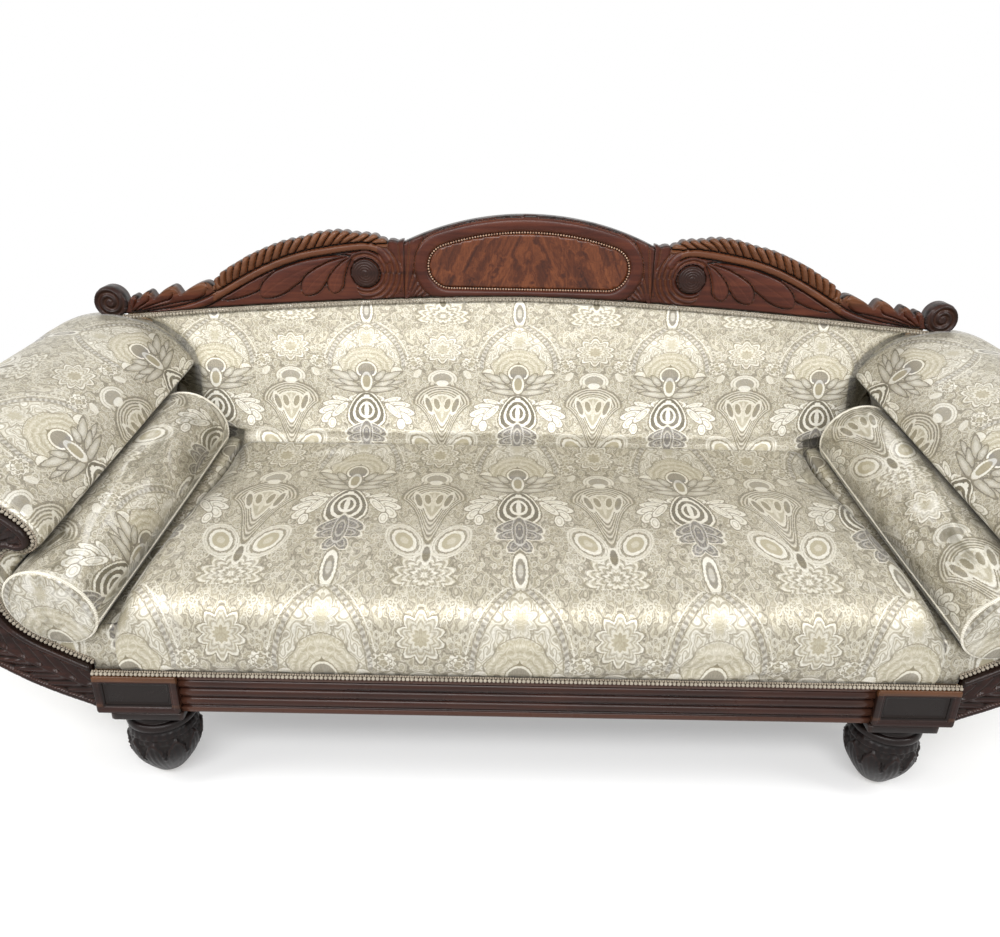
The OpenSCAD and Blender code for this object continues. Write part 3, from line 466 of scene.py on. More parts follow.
def veneer_material():
    """Flame mahogany, bookmatched about the middle: dark plumes that rise and spread."""
    material, tree, shader = new_material("flame_veneer")
    x, _, z = split_up(tree, new_node(tree, "TexCoord").outputs["Object"])
    x = abs(x)
    warp = noise(tree, stretched(tree, (3, 3, 5)), 3.0, 5.0, 0.6)
    lean = z*5.0 + x*-9.0 + warp*2.6
    joined = new_node(tree, "CombineXYZ")
    fed(tree, joined, X=lean, Y=x*30.0 + z*14.0)
    plume = noise(tree, joined.outputs[0], 1.6, 7.0, 0.66, 0.8)
    fine = noise(tree, stretched(tree, (90, 1, 16)), 3.0, 4.0)
    colour = ramp(tree, plume*0.8 + fine*0.2, [(0.34, (0.026, 0.007, 0.004)), (0.48, (0.074, 0.019, 0.007)),
                                               (0.60, (0.138, 0.040, 0.014)), (0.74, (0.205, 0.068, 0.024))])
    fed(tree, shader, Base_Color=colour, Roughness=0.28, Specular_IOR_Level=0.28, Coat_Weight=0.08,
        Coat_Roughness=0.12)
    bumped(tree, shader, fine, 0.15, 0.0003)
    return material


def plain_wood(name, dark, light):
    material, tree, shader = new_material(name)
    streak = noise(tree, stretched(tree, (2, 26, 26)), 4.0, 5.0, 0.6, 0.3)
    fed(tree, shader, Base_Color=ramp(tree, streak, [(0.3, dark), (0.7, light)]), Roughness=0.7)
    bumped(tree, shader, streak, 0.3, 0.0008)
    return material


def woven(name, dark, light, threads, roughness=0.9):
    """A plain weave of crossing threads, so many to the metre."""
    material, tree, shader = new_material(name)
    x, y, z = split_up(tree, new_node(tree, "TexCoord").outputs["Object"])
    warp = (x*(threads*math.pi)).sin()
    weft = ((y + z)*(threads*math.pi)).sin()
    cell = warp*weft
    patch = noise(tree, stretched(tree, EVEN), 30.0, 3.0)
    tone = cell*0.25 + patch*0.6 + 0.2
    fed(tree, shader, Base_Color=ramp(tree, tone, [(0.25, dark), (0.75, light)]), Roughness=roughness)
    bumped(tree, shader, cell, 0.4, 0.0006)
    return material


def metal(name, dark, light, roughness):
    material, tree, shader = new_material(name)
    patch = noise(tree, stretched(tree, EVEN), 60.0, 4.0)
    colour = ramp(tree, patch, [(0.35, dark), (0.65, light)])
    fed(tree, shader, Base_Color=colour, Roughness=patch*0.3 + (roughness - 0.15), Metallic=1.0)
    bumped(tree, shader, patch, 0.2, 0.0004)
    return material


# Beads lighter than the mahogany round them: a painted highlight
def bead_material():
    material, tree, shader = new_material("bead_highlight")
    patch = noise(tree, stretched(tree, EVEN), 90.0, 3.0)
    colour = ramp(tree, patch, [(0.3, (0.20, 0.10, 0.06)), (0.7, (0.42, 0.26, 0.17))])
    fed(tree, shader, Base_Color=colour, Roughness=0.25, Coat_Weight=0.5)
    return material


# The damask: one repeat is this wide and this high, in millimetres, mirrored about each column
REPEAT_W = 342.5
REPEAT_H = 570.0
REPEAT_TOP = 172.0
# The pattern is this much shorter on the back and on the arms than on the seat
BACK_SQUEEZE, ARM_SQUEEZE = 1.63, 1.3


def ellipse(a, v, centre, radii, turn=0.0):
    """Distance from an ellipse's middle in shares of its radii: 1 on its line."""
    da, dv = a - centre[0], v - centre[1]
    if turn:
        c, s = math.cos(math.radians(turn)), math.sin(math.radians(turn))
        da, dv = da*c + dv*s, dv*c - da*s
    return (da*(1/radii[0])).hypot(dv*(1/radii[1]))


def turned(a, v, centre, turn):
    """Distances along and across a line that is turned about a centre."""
    c, s = math.cos(math.radians(turn)), math.sin(math.radians(turn))
    da, dv = a - centre[0], v - centre[1]
    return da*c + dv*s, dv*c - da*s


def flower(a, v, centre, radii, petals, depth):
    """Distance from a flower's middle: 1 on the tips of its petals and further in between them."""
    angle = (v - centre[1]).made("ARCTAN2", a - centre[0])
    return ellipse(a, v, centre, radii)*(abs((angle*(petals/2)).sin())*-depth + (1.0 + depth))


def ogee(a, v, half, foot, apex):
    """Distance outside a pointed arch whose sides are arcs, in millimetres."""
    rise = apex - foot
    both = rise*rise/half
    radius, middle = (both + half)/2, (both - half)/2
    return (a + middle).hypot(v - foot) - radius


def line_of(distance, place, width, soft=1.0):
    return abs(distance - place).below(width, soft)


class Weave:
    """How pale, how golden and how blue each place of the cloth is.

    Motifs are drawn in millimetres: a is the distance from the lotus's column, b from the column between, and
    v runs up from the lotus. Tones run from 0, dark, to 1, pale.
    """

    def __init__(self, pale):
        self.pale, self.gold, self.blue = pale, pale*0.0, pale*0.0

    def lay(self, mask, pale, gold=None, blue=None):
        """Lays tones over the cloth through a mask."""
        self.pale = over(self.pale, pale, mask)
        if gold is not None:
            self.gold = over(self.gold, gold, mask)
        if blue is not None:
            self.blue = over(self.blue, blue, mask)

    def fill(self, distance, *steps, mask=None, **colours):
        """Lays tones inside a shape: steps of an edge, its softness and a tone, and colours on the last."""
        for number, (edge, soft, pale) in enumerate(steps, 1):
            within = distance.below(edge, soft)
            if mask is not None:
                within = within*mask
            self.lay(within, pale, **(colours if number == len(steps) else {}))

    def line(self, distance, place, width, soft, pale):
        """A line along a shape's edge."""
        self.lay(line_of(distance, place, width, soft), pale)

    def leaf(self, distance, edge=0.24, fill=0.62, heart=0.78, blue=0.25):
        """A leaf with a dark outline, a mid tone and a pale middle."""
        self.fill(distance, (1.14, 0.10, edge), blue=0.2)
        self.fill(distance, (0.88, 0.12, fill), blue=blue)
        self.fill(distance, (0.45, 0.25, heart))


# Leaves, petals and lobes of the motifs: each one's middle, its radii and its turn in degrees
DOME_PLACE, DOME_RADII = (0, -2), (23, 29)
LOTUS_LEAVES = [((52, -24), (33, 11), 34), ((31, -22), (22, 8.5), 62), ((62, -46), (25, 8), 14),
                ((40, -52), (26, 9), 30), ((36, -72), (34, 10), 10)]
ONION_PETALS = [((16, -222), (34, 17), -38), ((14, -250), (30, 14), -22), ((9, -285), (24, 12), -66),
                ((0, -236), (13, 46), 0)]
SPRAY_LOBES = [((58, -112), (22, 10), 28), ((74, -128), (25, 11), -4), ((86, -150), (26, 12), -34),
               ((88, -178), (24, 11), -62), ((78, -200), (20, 9), -88), ((60, -150), (32, 9), -58)]


def weave_arch(w, a, v, curls):
    """A tall pointed arch over each lotus, with a corded border and faint flowers inside."""
    arch = ogee(a, v, 75.0, 20.0, 166.0)
    upper = 1.0 - (v - 8.0).below(0.0, 18.0)
    w.lay(arch.below(0.0, 3.0)*upper, 0.68 + curls*0.16)
    bud = flower(a, v, (0, 112), (32, 44), 8, 0.5)
    w.lay(bud.below(0.96, 0.1), (bud*24.0).sin()*0.09 + 0.70)
    w.line(bud, 1.0, 0.08, 0.06, 0.46)
    w.fill(bud, (0.40, 0.1, 0.60), gold=0.6)
    cord = (v*0.42 - a*0.30).sin()*0.22 + 0.55
    w.lay(line_of(arch, 8.0, 4.0)*upper, cord, blue=0.5)
    for place, width, tone in ((1.6, 0.9, 0.34), (14.0, 1.0, 0.36), (20.0, 1.2, 0.80)):
        w.lay(line_of(arch, place, width)*upper, tone)


def weave_lotus(w, a, v, curls):
    """A dome in a golden flame, over four pairs of outlined leaves."""
    flame = ogee(a, v, 62.0, -2.0, 84.0) + (v*0.16).sin()*3.0
    above = 1.0 - (v + 8.0).below(0.0, 10.0)
    w.lay(line_of(flame, 3.0, 1.3)*above, 0.36)
    echo = ellipse(a, v, DOME_PLACE, DOME_RADII)
    w.lay(flame.below(0.0, 6.0)*above, (echo*11.0).sin()*0.10 + curls*0.08 + 0.66, gold=0.75)
    w.fill(ellipse(a, v, (68, -6), (13, 17)), (1.14, 0.1, 0.36), (1.0, 0.1, 0.88))
    for place, radii, turn in LOTUS_LEAVES:
        along, across = turned(a, v, place, turn)
        w.leaf((along*(1/radii[0])).hypot(across*(1.0 + along*0.012)*(1/radii[1])))
    w.lay((a*2.2 + v).below(40.0, 2.0)*(1.0 - v.below(26.0, 2.0)), 0.20)
    round_top = ellipse(a, v, DOME_PLACE, DOME_RADII)
    w.fill(round_top, (1.10, 0.05, 0.18), (1.02, 0.05, 0.97))
    w.lay(round_top.below(0.84, 0.05), 0.32 + (a*1.5).sin()*0.07, blue=0.95)
    tongue = ellipse(a, v, (0, -44), (12, 32))
    w.fill(tongue, (1.25, 0.1, 0.30), (1.10, 0.1, 0.93), (0.74, 0.1, 0.42), gold=0.95)


def weave_onion(w, a, v, curls):
    """White loops that hang under the lotus, a dark flower under them and a small ring below."""
    w.line(ellipse(a, v, (21, -106), (17, 10), -20), 1.0, 0.18, 0.1, 0.92)
    drop = v + 150.0
    onion = (a*(drop*0.0048 + 1.0).most(0.45)*(1/39.0)).hypot(drop*(1/66.0))
    loops = ((onion*20.0).sin()*2.4).clamped()
    w.fill(onion, (1.10, 0.04, 0.22))
    w.lay(onion.below(1.04, 0.04), loops*0.78 + 0.16)
    w.fill(ellipse(a, v, (0, -150), (5, 34)), (1.0, 0.3, 0.93))
    w.fill(ellipse(a, v, (0, -99), (7, 6)), (1.0, 0.2, 0.95))
    for place, radii, turn in ONION_PETALS:
        along, across = turned(a, v, place, turn)
        petal = (along*(1/radii[0])).hypot(across*(1/radii[1]))
        w.fill(petal, (1.16, 0.08, 0.86))
        w.lay(petal.below(1.0, 0.08), (along*0.9).sin()*0.10 + curls*0.14 + 0.28, blue=0.9)
        w.line(petal, 0.60, 0.09, 0.06, 0.72)
    ring = ellipse(a, v, (0, -358), (11, 38))
    w.fill(ring, (1.5, 0.1, 0.30), (1.28, 0.1, 0.90), (0.84, 0.1, 0.34), blue=0.5)
    w.fill(ring, (0.46, 0.15, 0.70))


def weave_pale_leaf(w, a, v):
    """A spray of pale lobes, that falls outwards on each side of the loops."""
    for place, radii, turn in SPRAY_LOBES:
        lobe = ellipse(a, v, place, radii, turn)
        w.fill(lobe, (1.16, 0.08, 0.32), (1.0, 0.10, 0.92))
        w.line(lobe, 0.58, 0.07, 0.06, 0.60)


def weave_shield(w, b, v):
    """Fine loops inside each other, that close to a point, with a crescent over them."""
    drop = v + 122.0
    under = (drop*-1.0).most(0.0)
    tall = drop.most(0.0)*(1/66.0) + under*(1/150.0)
    egg = (b*(under*0.017 + 1.0)*(1/60.0)).hypot(tall)
    w.fill(egg, (1.12, 0.03, 0.30))
    w.lay(egg.below(1.07, 0.03), (egg*52.0).sin()*0.26 + 0.52)
    w.fill(egg, (0.50, 0.06, 0.58), gold=0.5)
    w.line(egg, 0.50, 0.05, 0.04, 0.86)
    for place, radii, turn in (((12, -122), (8, 26), -8), ((30, -126), (8, 34), -12)):
        w.fill(ellipse(b, v, place, radii, turn), (1.16, 0.1, 0.84), (0.78, 0.1, 0.34))
    w.fill(ellipse(b, v, (0, -136), (4, 40)), (1.0, 0.3, 0.80))
    crescent = b.hypot(v + 30.0)
    upper = 1.0 - v.below(-42.0, 6.0)
    w.fill(crescent, (36.0, 1.2, 0.40), (33.0, 1.2, 0.84), mask=upper)
    w.lay(line_of(crescent, 27.0, 0.8)*upper, 0.56)
    w.fill(crescent, (21.0, 1.2, 0.46), mask=upper, blue=0.3)
    w.fill(ellipse(b, v, (0, -46), (14, 11)), (1.0, 0.15, 0.88))


def weave_drops(w, b, v, curls):
    """Golden drops beside the shield's point, rosettes above the crescent, lace and a dark bud below."""
    lace = flower(b, v, (0, -372), (62, 66), 12, 0.35)
    w.lay(lace.below(1.0, 0.05), (lace*24.0).sin()*0.20 + curls*0.08 + 0.62)
    w.line(lace, 1.0, 0.05, 0.04, 0.34)
    tear = ellipse(b, v, (44, -276), (19, 34), -24)
    w.line(tear, 1.62, 0.09, 0.06, 0.80)
    w.line(tear, 1.40, 0.09, 0.06, 0.78)
    w.fill(tear, (1.22, 0.06, 0.36), (1.10, 0.06, 0.88), (0.80, 0.08, 0.54), gold=0.95)
    w.fill(tear, (0.36, 0.12, 0.72), gold=0.6)
    w.fill(ellipse(b, v, (0, -318), (8, 25)), (1.3, 0.15, 0.84), (0.9, 0.2, 0.22))
    rosette = ellipse(b, v, (65, 27), (20, 21))
    petals = rosette + (b*0.45).sin()*(v*0.45).sin()*0.20
    w.fill(petals, (1.22, 0.06, 0.36))
    w.lay(petals.below(1.06, 0.08), curls*0.10 + 0.78)
    w.line(petals, 0.66, 0.10, 0.08, 0.36)
    w.fill(petals, (0.34, 0.10, 0.44), gold=0.5)
    w.fill(ellipse(b, v, (56, -12), (8, 16), 20), (1.0, 0.1, 0.80))
    stem = flower(b, v, (0, 78), (44, 52), 10, 0.4)
    w.lay(stem.below(1.0, 0.06), (stem*30.0).sin()*0.13 + 0.60)
    w.line(stem, 1.0, 0.06, 0.05, 0.30)
    w.line(stem, 0.92, 0.05, 0.04, 0.84)
    w.fill(stem, (0.40, 0.06, 0.50), gold=0.7)
    w.line(stem, 0.40, 0.05, 0.05, 0.80)


# The damask's colours from its ground to its palest threads, and those laid over them: blue-grey and old gold
# in the pattern, and darker and paler streaks of crushed nap that also stand as painted shade and painted
# sheen
DAMASK_TONES = [(0.12, (0.088, 0.076, 0.054)), (0.36, (0.232, 0.206, 0.152)), (0.62, (0.450, 0.417, 0.332)),
                (0.95, (0.800, 0.780, 0.710))]
BLUE_GREY, OLD_GOLD = (0.190, 0.192, 0.232), (0.430, 0.365, 0.190)
CRUSHED_SHADE_DARK, CRUSHED_SHEEN_PALE = (0.085, 0.072, 0.036), (0.86, 0.85, 0.82)
THREADS = 5.2


def damask(name, crush_shading=0.0):
    """Silver-cream damask on a taupe ground: lotus columns with shields between and arches above."""
    material, tree, shader = new_material(name)
    uv = tree.nodes.new("ShaderNodeUVMap")
    uv.uv_map = "cloth"
    u, v, _ = split_up(tree, uv.outputs[0])
    u = u*1000.0
    v = v*1000.0
    wobble = noise(tree, stretched(tree, EVEN), 60.0, 2.0)
    a = u.fold(REPEAT_W/2)
    v = v.wrap(REPEAT_TOP, REPEAT_TOP - REPEAT_H)
    folded = new_node(tree, "CombineXYZ")
    fed(tree, folded, X=a*1.6, Y=v)
    place = folded.outputs[0]
    wander = noise(tree, place, 0.020, 2.0)
    curls = (wander*85.0).sin()
    veins = (wander*34.0 + v*0.02).sin()
    streaks = noise(tree, place, 0.30, 1.0)
    cells = new_node(tree, "TexVoronoi", Scale=0.052, Vector=place)
    floret = Sum(tree, cells.outputs["Distance"])
    # The motifs' edges wander a little with the ground, as woven ones do
    a, v = a + curls*0.5, v + veins*0.7
    b = REPEAT_W/2 - a
    w = Weave(curls*0.11 + veins*0.08 + streaks*0.26 + 0.36)
    w.lay(floret.below(0.44, 0.06), (floret*42.0).sin()*0.16 + streaks*0.3 + 0.38)
    w.line(floret, 0.44, 0.05, 0.05, 0.74)
    w.gold = ((veins - 0.2)*0.5).clamped()
    weave_arch(w, a, v, curls)
    weave_drops(w, b, v, curls)
    weave_shield(w, b, v)
    weave_pale_leaf(w, a, v)
    weave_onion(w, a, v, curls)
    weave_lotus(w, a, v, curls)

    grain = noise(tree, stretched(tree, EVEN), 420.0, 2.0)
    fine = (wander*230.0).sin()
    pale = w.pale*0.84 + fine*0.06 + streaks*0.12 + grain*0.14 + wobble*0.06 - 0.07
    colour = ramp(tree, pale, DAMASK_TONES)
    colour = mixed(tree, w.blue*0.36, colour, BLUE_GREY)
    colour = mixed(tree, w.gold*0.32, colour, OLD_GOLD)
    # Darker and paler streaks, stronger with the crush amount: crushed nap, partly painted shade and painted
    # sheen
    crushed = noise(tree, stretched(tree, (9, 2.2, 5) if crush_shading else (4, 4, 4)), 2.4, 5.0, 0.62, 1.4)
    streak = ((crushed - 0.50)*4.5).clamped()
    colour = mixed(tree, streak*(0.14 + crush_shading), colour, CRUSHED_SHADE_DARK)
    sheen_streak = ((crushed*-1.0 + 0.45)*5.0).clamped()
    colour = mixed(tree, sheen_streak*(0.16 + crush_shading*0.6), colour, CRUSHED_SHEEN_PALE)
    fed(tree, shader, Base_Color=colour, Roughness=pale*-0.16 + crushed*0.14 + 0.42, Metallic=0.42,
        Specular_IOR_Level=0.6, Sheen_Weight=0.20, Sheen_Roughness=0.35)
    threads = (u*THREADS).sin()*(v*THREADS).sin()
    bumped(tree, shader, curls*0.25 + threads*0.12 + crushed*1.8, 0.35, 0.0011)
    return material


# The fourth colour of each wood is its painted highlight on high edges, partly rubbed wear
CREST_WOOD = mahogany("crest_mahogany", (0.020, 0.006, 0.004), (0.064, 0.016, 0.009), (0.125, 0.036, 0.017),
                      (0.190, 0.072, 0.030))
DARK_WOOD = mahogany("dark_mahogany", (0.007, 0.003, 0.002), (0.021, 0.007, 0.005), (0.052, 0.017, 0.010),
                     (0.095, 0.040, 0.024), roughness=0.30, polish=0.07)
FOOT_WOOD = mahogany("foot_mahogany", (0.002, 0.0015, 0.0015), (0.005, 0.003, 0.003), (0.014, 0.007, 0.006),
                     (0.030, 0.014, 0.010), grain=(6, 6, 1.2), roughness=0.36, polish=0.02)
VENEER = veneer_material()
BEECH = plain_wood("beech", (0.42, 0.28, 0.16), (0.62, 0.46, 0.29))
CLOTH = damask("damask")
# The bolsters' cloth, with stronger streaks of painted shade and painted sheen
CLOTH_CRUSHED_SHADED = damask("damask_crushed_shaded", crush_shading=0.62)
GIMP = woven("gimp_braid", (0.20, 0.17, 0.13), (0.46, 0.41, 0.33), 700, 0.75)
GIMP_DARK = woven("gimp_chain", (0.20, 0.16, 0.12), (0.42, 0.36, 0.28), 700, 0.8)
CORD = woven("piping_cord", (0.52, 0.48, 0.38), (0.82, 0.79, 0.70), 420, 0.6)
HESSIAN = woven("hessian", (0.26, 0.19, 0.11), (0.52, 0.41, 0.26), 600)
WEBBING = woven("webbing", (0.42, 0.36, 0.25), (0.68, 0.61, 0.46), 500)
BLACK_CLOTH = woven("black_cloth", (0.012, 0.012, 0.013), (0.035, 0.035, 0.038), 900)
BRASS = metal("dull_brass", (0.30, 0.20, 0.08), (0.62, 0.46, 0.20), 0.38)
SPRING_STEEL = metal("spring_steel", (0.22, 0.17, 0.13), (0.42, 0.34, 0.27), 0.45)
BEAD_HIGHLIGHT = bead_material()

# Every solid of the frame gets its slot's finish, and the pieces below take the place of those that show
FINISHES = {"beech": BEECH, "mahogany": DARK_WOOD, "mahogany_veneer": VENEER, "damask": CLOTH, "braid": GIMP,
            "hessian": HESSIAN, "webbing": WEBBING, "black_cloth": BLACK_CLOTH, "brass": BRASS,
            "spring_steel": SPRING_STEEL}
for subpart in frame["record"]["subparts"]:
    for slot_place in frame["nodes"][subpart["node"]].material_slots:
        slot_place.material = FINISHES[subpart["material_slot"]]
SLOTS = {finish: slot for slot, finish in FINISHES.items()}
SLOTS.update({CREST_WOOD: "mahogany", FOOT_WOOD: "mahogany", BEAD_HIGHLIGHT: "mahogany", CLOTH_CRUSHED_SHADED: "damask",
              CORD: "damask", GIMP_DARK: "braid"})

NAMES = {-1: "left", 1: "right"}

# Measures read from the frame
rail_z, rail_top = (corner[2] for corner in box_mm("front_rail"))
tablet_low, tablet_high = box_mm("tablet_right")
tablet_x0, tablet_x1 = tablet_low[0], tablet_high[0]
reed_low, reed_high = box_mm("reeded_facing")
reed_t = reed_high[1]
pad_z0 = box_mm("seat_pad")[0][2]
crest_y, crest_top = box_mm("crest_tablet")[0][1], box_mm("crest_tablet")[1][2]
crest_rear = box_mm("crest_wing_right")[1][1]
back_rail_y0 = box_mm("back_rail")[0][1]

# Sizes that the part's source also holds
seat_top, seat_back_top, seat_edge_top, seat_bulge, seat_d = 452, 473, 413, 10, 573
crest_base, crest_fall, crest_half, crest_tablet_half = 796, 62, 967, 273
roll_top_front, roll_top_back, arm_reach = 655, 738, 1154
frame_d, top_rail_half, top_rail_under, stile_half = 676, 900, 675, 745
bolster_r, piping_r, bolster_gap = 82, 3, 0.5
bolster_front = np.array([806.0, -20.0, 403.0])
bolster_back = np.array([737.0, 545.0, 522.0])
bolster_vec = bolster_back - bolster_front
bolster_len = float(np.linalg.norm(bolster_vec))
bolster_dir = bolster_vec/bolster_len
gap = 0.3


def crest_low(x):
    """Height of the crest's lower edge: level in the middle and falling to the ends."""
    return crest_base - crest_fall*(np.abs(x)/(crest_half*0.972))**1.5


def axis_at(y):
    """The middle of the right bolster at a depth."""
    return lerp(bolster_front, bolster_back, (y - bolster_front[1])/(bolster_back[1] - bolster_front[1]))


def wall_x(y):
    """Half width of the seat at a depth, between the bolsters."""
    front = bolster_front[0] - bolster_r - 5
    back = bolster_back[0] - bolster_r + 2
    return lerp(front, back, (y - bolster_front[1])/(bolster_back[1] - bolster_front[1]))


# Wood: rail, corner tablets and feet
def reeded_rail():
    """Three round reeds between flat margins, along the front."""
    height = reed_high[2] - reed_low[2]
    reed_count, reed_share = 3, 0.72
    pitch = height*reed_share/reed_count
    margin = height*(1 - reed_share)/2
    border = [(reed_t, 0), (1.0, 0), (0, 1.2), (0, margin - 2.0), (2.0, margin - 0.4)]
    section = list(border)
    for reed in range(reed_count):
        middle = margin + (reed + 0.5)*pitch
        for turn in np.radians(np.linspace(-78, 78, 13)):
            section.append((pitch*0.46*(1 - math.cos(turn)) + 0.3, middle + pitch*0.47*math.sin(turn)))
    section += [(y, height - z) for y, z in border[::-1]]
    stations = np.linspace(-tablet_x0, tablet_x0, 60)
    rows = [[(x, y, rail_z + z) for y, z in section] for x in stations]
    wrapped("reeded_rail", rows, DARK_WOOD, flip=True, nodes=["reeded_facing"], crease=35)


def corner_tablet(side):
    """A sunk panel in a moulded frame, with a rounded top edge."""
    name = "tablet_" + NAMES[side]
    low, high = tablet_low[[0, 2]], tablet_high[[0, 2]]
    sunk_from, bead_in, groove_in = 13.0, 17.5, 10.5

    def relief(p):
        room = np.minimum(p - low, high - p).min(1)
        sunk = -8.0*step_up(sunk_from, sunk_from + 1.5, room)
        return sunk + 2.6*dome((room - bead_in)/2.5) - 1.5*bell(room, groove_in, 1.1)

    # Painted highlight on the top strip and along the bead, and painted shade in the sunk panel
    def shade(p):
        lit = 0.60*(p[:, 1] > high[1] - 11) + 0.25*(np.abs(p[:, 1] - low[1] - bead_in) < 3)
        return np.where(relief(p) < -6, -0.7, lit)

    carved(name, smooth_box(*low, *high, 2.0), tablet_low[1] + 1, reed_t, relief, 1.9, DARK_WOOD, 30, side,
           [name], round_depth=2.4, shade=shade)


def smooth_box(x0, z0, x1, z1, r, pitch=6.0):
    """A rectangle's outline with rounded corners and points along its sides."""
    corners = [(x1 - r, z0 + r), (x1 - r, z1 - r), (x0 + r, z1 - r), (x0 + r, z0 + r)]
    quarter = math.pi/2
    arcs = [arc(corner, r, quarter*(k - 1), quarter*k, 5) for k, corner in enumerate(corners)]
    return resampled(closed_ring(np.concatenate(arcs)), pitch)[:-1]


def foot_carving(angle, share):
    """Height of the carving round the bulb at a share of its height: leaves, and pearls over them."""
    if share > 1:
        return np.zeros(len(angle))
    lobes = ribs(angle*5)
    petal_edge = 0.46 + 0.36*lobes**0.8
    leaf = step_up(-0.03, 0.03, petal_edge - share)
    rim = bell(petal_edge - share, 0.05, 0.03)
    ground = 3.4*ribs(angle*15)*ribs(share*22) - 5.2
    carve = leaf*(1.8*lobes**0.4 - 2.2 + 1.9*ribs(angle*20 + share*5) + 2.0*rim) + (1 - leaf)*ground
    pearls = step_up(0.07, 0.03, abs(share - 0.90))
    carve = lerp(carve, 2.4*ribs(angle*14) - 1.6, pearls)
    return carve*math.sin(math.pi*min(0.94, share))**0.5


def foot(where):
    """Plinth, ring and a bulb carved with lobes, turned in wood over its caster."""
    low, high = box_mm("foot_" + where)
    centre = (low + high)/2
    plinth_h, plinth_half, collar_h = 14.0, 64.0, 34.0
    foot_gap, plinth_z = low[2], high[2] - plinth_h
    square = smooth_box(-plinth_half, -plinth_half, plinth_half, plinth_half, 3.0, 5.0)
    rows = []
    for z, inset in ((0, 2.2), (0.8, 0.8), (2.2, 0), (plinth_h - 1.0, 0), (plinth_h, 0)):
        scale = (plinth_half - inset)/plinth_half
        rows.append([(centre[0] + x*scale, centre[1] + y*scale, plinth_z + z) for x, y in square])
    wrapped("foot_plinth_" + where, rows, FOOT_WOOD, nodes=["foot_" + where], crease=40)

    # The turned profile from the floor up: radius, height and share of the bulb's height, over 1 where plain
    bulb_r, bulb_h = 67.0, plinth_z - collar_h - foot_gap
    sole, widest, plain = 0.47, 0.66, 1.5
    profile = []
    for share in np.linspace(0, 1, 70):
        swell = sole + (1 - sole)*math.sin(math.pi/2*min(1, share/widest)) - 0.9*max(0, share - widest)**2
        profile.append((bulb_r*swell, foot_gap + bulb_h*share, share))
    for turn in np.radians(np.linspace(-90, 90, 13)):
        profile.append((bulb_r - 9 + 8*math.cos(turn), foot_gap + bulb_h + 9*(1 + math.sin(turn)), plain))
    profile += [(r, plinth_z - down, plain) for r, down in ((57.0, 15), (58.0, 7), (61.0, 0))]
    turns = 144
    angle = np.linspace(0, 2*math.pi, turns, endpoint=False)

    def ring(r, z):
        return np.stack([centre[0] + r*np.cos(angle), centre[1] + r*np.sin(angle), np.full(turns, z)], 1)

    recess_r, recess_h = 29.0, 22.0
    rows = [ring(recess_r, foot_gap + recess_h), ring(recess_r, foot_gap)]
    # Low relief values below also make painted shade, in the recess and the carving's hollows
    tone = [np.full(turns, -4.0), np.full(turns, -1.0)]
    for r, z, share in profile:
        carve = foot_carving(angle, share)
        rows.append(ring(r - 1.6 + carve, z))
        tone.append(carve*1.2)
    wrapped("foot_bulb_" + where, rows, FOOT_WOOD, caps=False, relief=np.concatenate(tone), crease=50)


# Wood: crest
GROOVE = -7.0


def petal(p, base, bend, tip, width, height, full=0.74):
    """Height of one pillowed petal that grows from its base along a bent line, and where it lies."""
    t = np.linspace(0, 1, 28)[:, None]
    line = (1 - t)**2*np.array(base) + 2*t*(1 - t)*np.array(bend) + t*t*np.array(tip)
    distance, along, _ = nearest(p, line)
    u = along/lengths(line)[-1]
    rise = np.clip(u/full, 0, 1)**0.75
    cap = dome(np.clip((u - full)/(1 - full), 0, 1))
    half = np.maximum(width*np.where(u < full, rise, cap), 0.01)
    vein = -0.9*bell(distance, 0, 1.6)*step_up(0.1, 0.3, u)
    body = height*dome(distance/half) - 2.0 + vein
    return lerp(GROOVE, body, step_up(0.8, 3.6, half - distance)), distance/half < 1


# The right wing's lines as x and z: the gadroon's two edges, the rib under it, petals and acanthus lobes
BOSS, BOSS_R = np.array([358.0, 840.0]), 30.0
VOLUTE, VOLUTE_R = np.array([929.3, 763.7]), 35.0
GADROON_OUT = smooth([(307, 905), (335, 919), (375, 922), (409, 926), (452, 922), (496, 910), (541, 899),
                      (606, 872), (640, 853), (670, 835), (690, 815), (694, 799)], 8)
GADROON_IN = smooth([(330, 899), (365, 903), (405, 903), (440, 897), (480, 888), (520, 876), (555, 864),
                     (590, 849), (630, 829), (660, 810), (690, 788)], 8)
RIB = smooth([(310, 868), (325, 888), (350, 897), (390, 894), (440, 886), (490, 876), (540, 860), (590, 838),
              (640, 811), (680, 788), (720, 767), (780, 750), (855, 739)], 8)
GADROON_START, GADROON_END = 308, 697
LOBES = [((704, 810), 24), ((779, 800), 19), ((835, 788), 13), ((872, 779), 9)]
LOBE_BASE = (884, 741)
GADROON_PITCH, FAN_PITCH = 21.0, 26.0
FAN_ROOT, FAN_STEP, FAN_END = 770.0, 0.19, 305
PETAL_BASE = (385, 876)
PETALS = [((545, 866), (688, 780), 30), ((500, 858), (592, 784), 27), ((452, 850), (496, 790), 24),
          ((424, 842), (430, 794), 20)]
LOBE_TIPS = [[(694, 797), (699, 805), (708, 812), (722, 811), (746, 800), (769, 784)],
             [(773, 790), (779, 799), (789, 802), (806, 793), (828, 774)],
             [(831, 779), (837, 788), (845, 789), (856, 780), (863, 769)],
             [(866, 773), (871, 779), (878, 779), (886, 771), (893, 765)]]


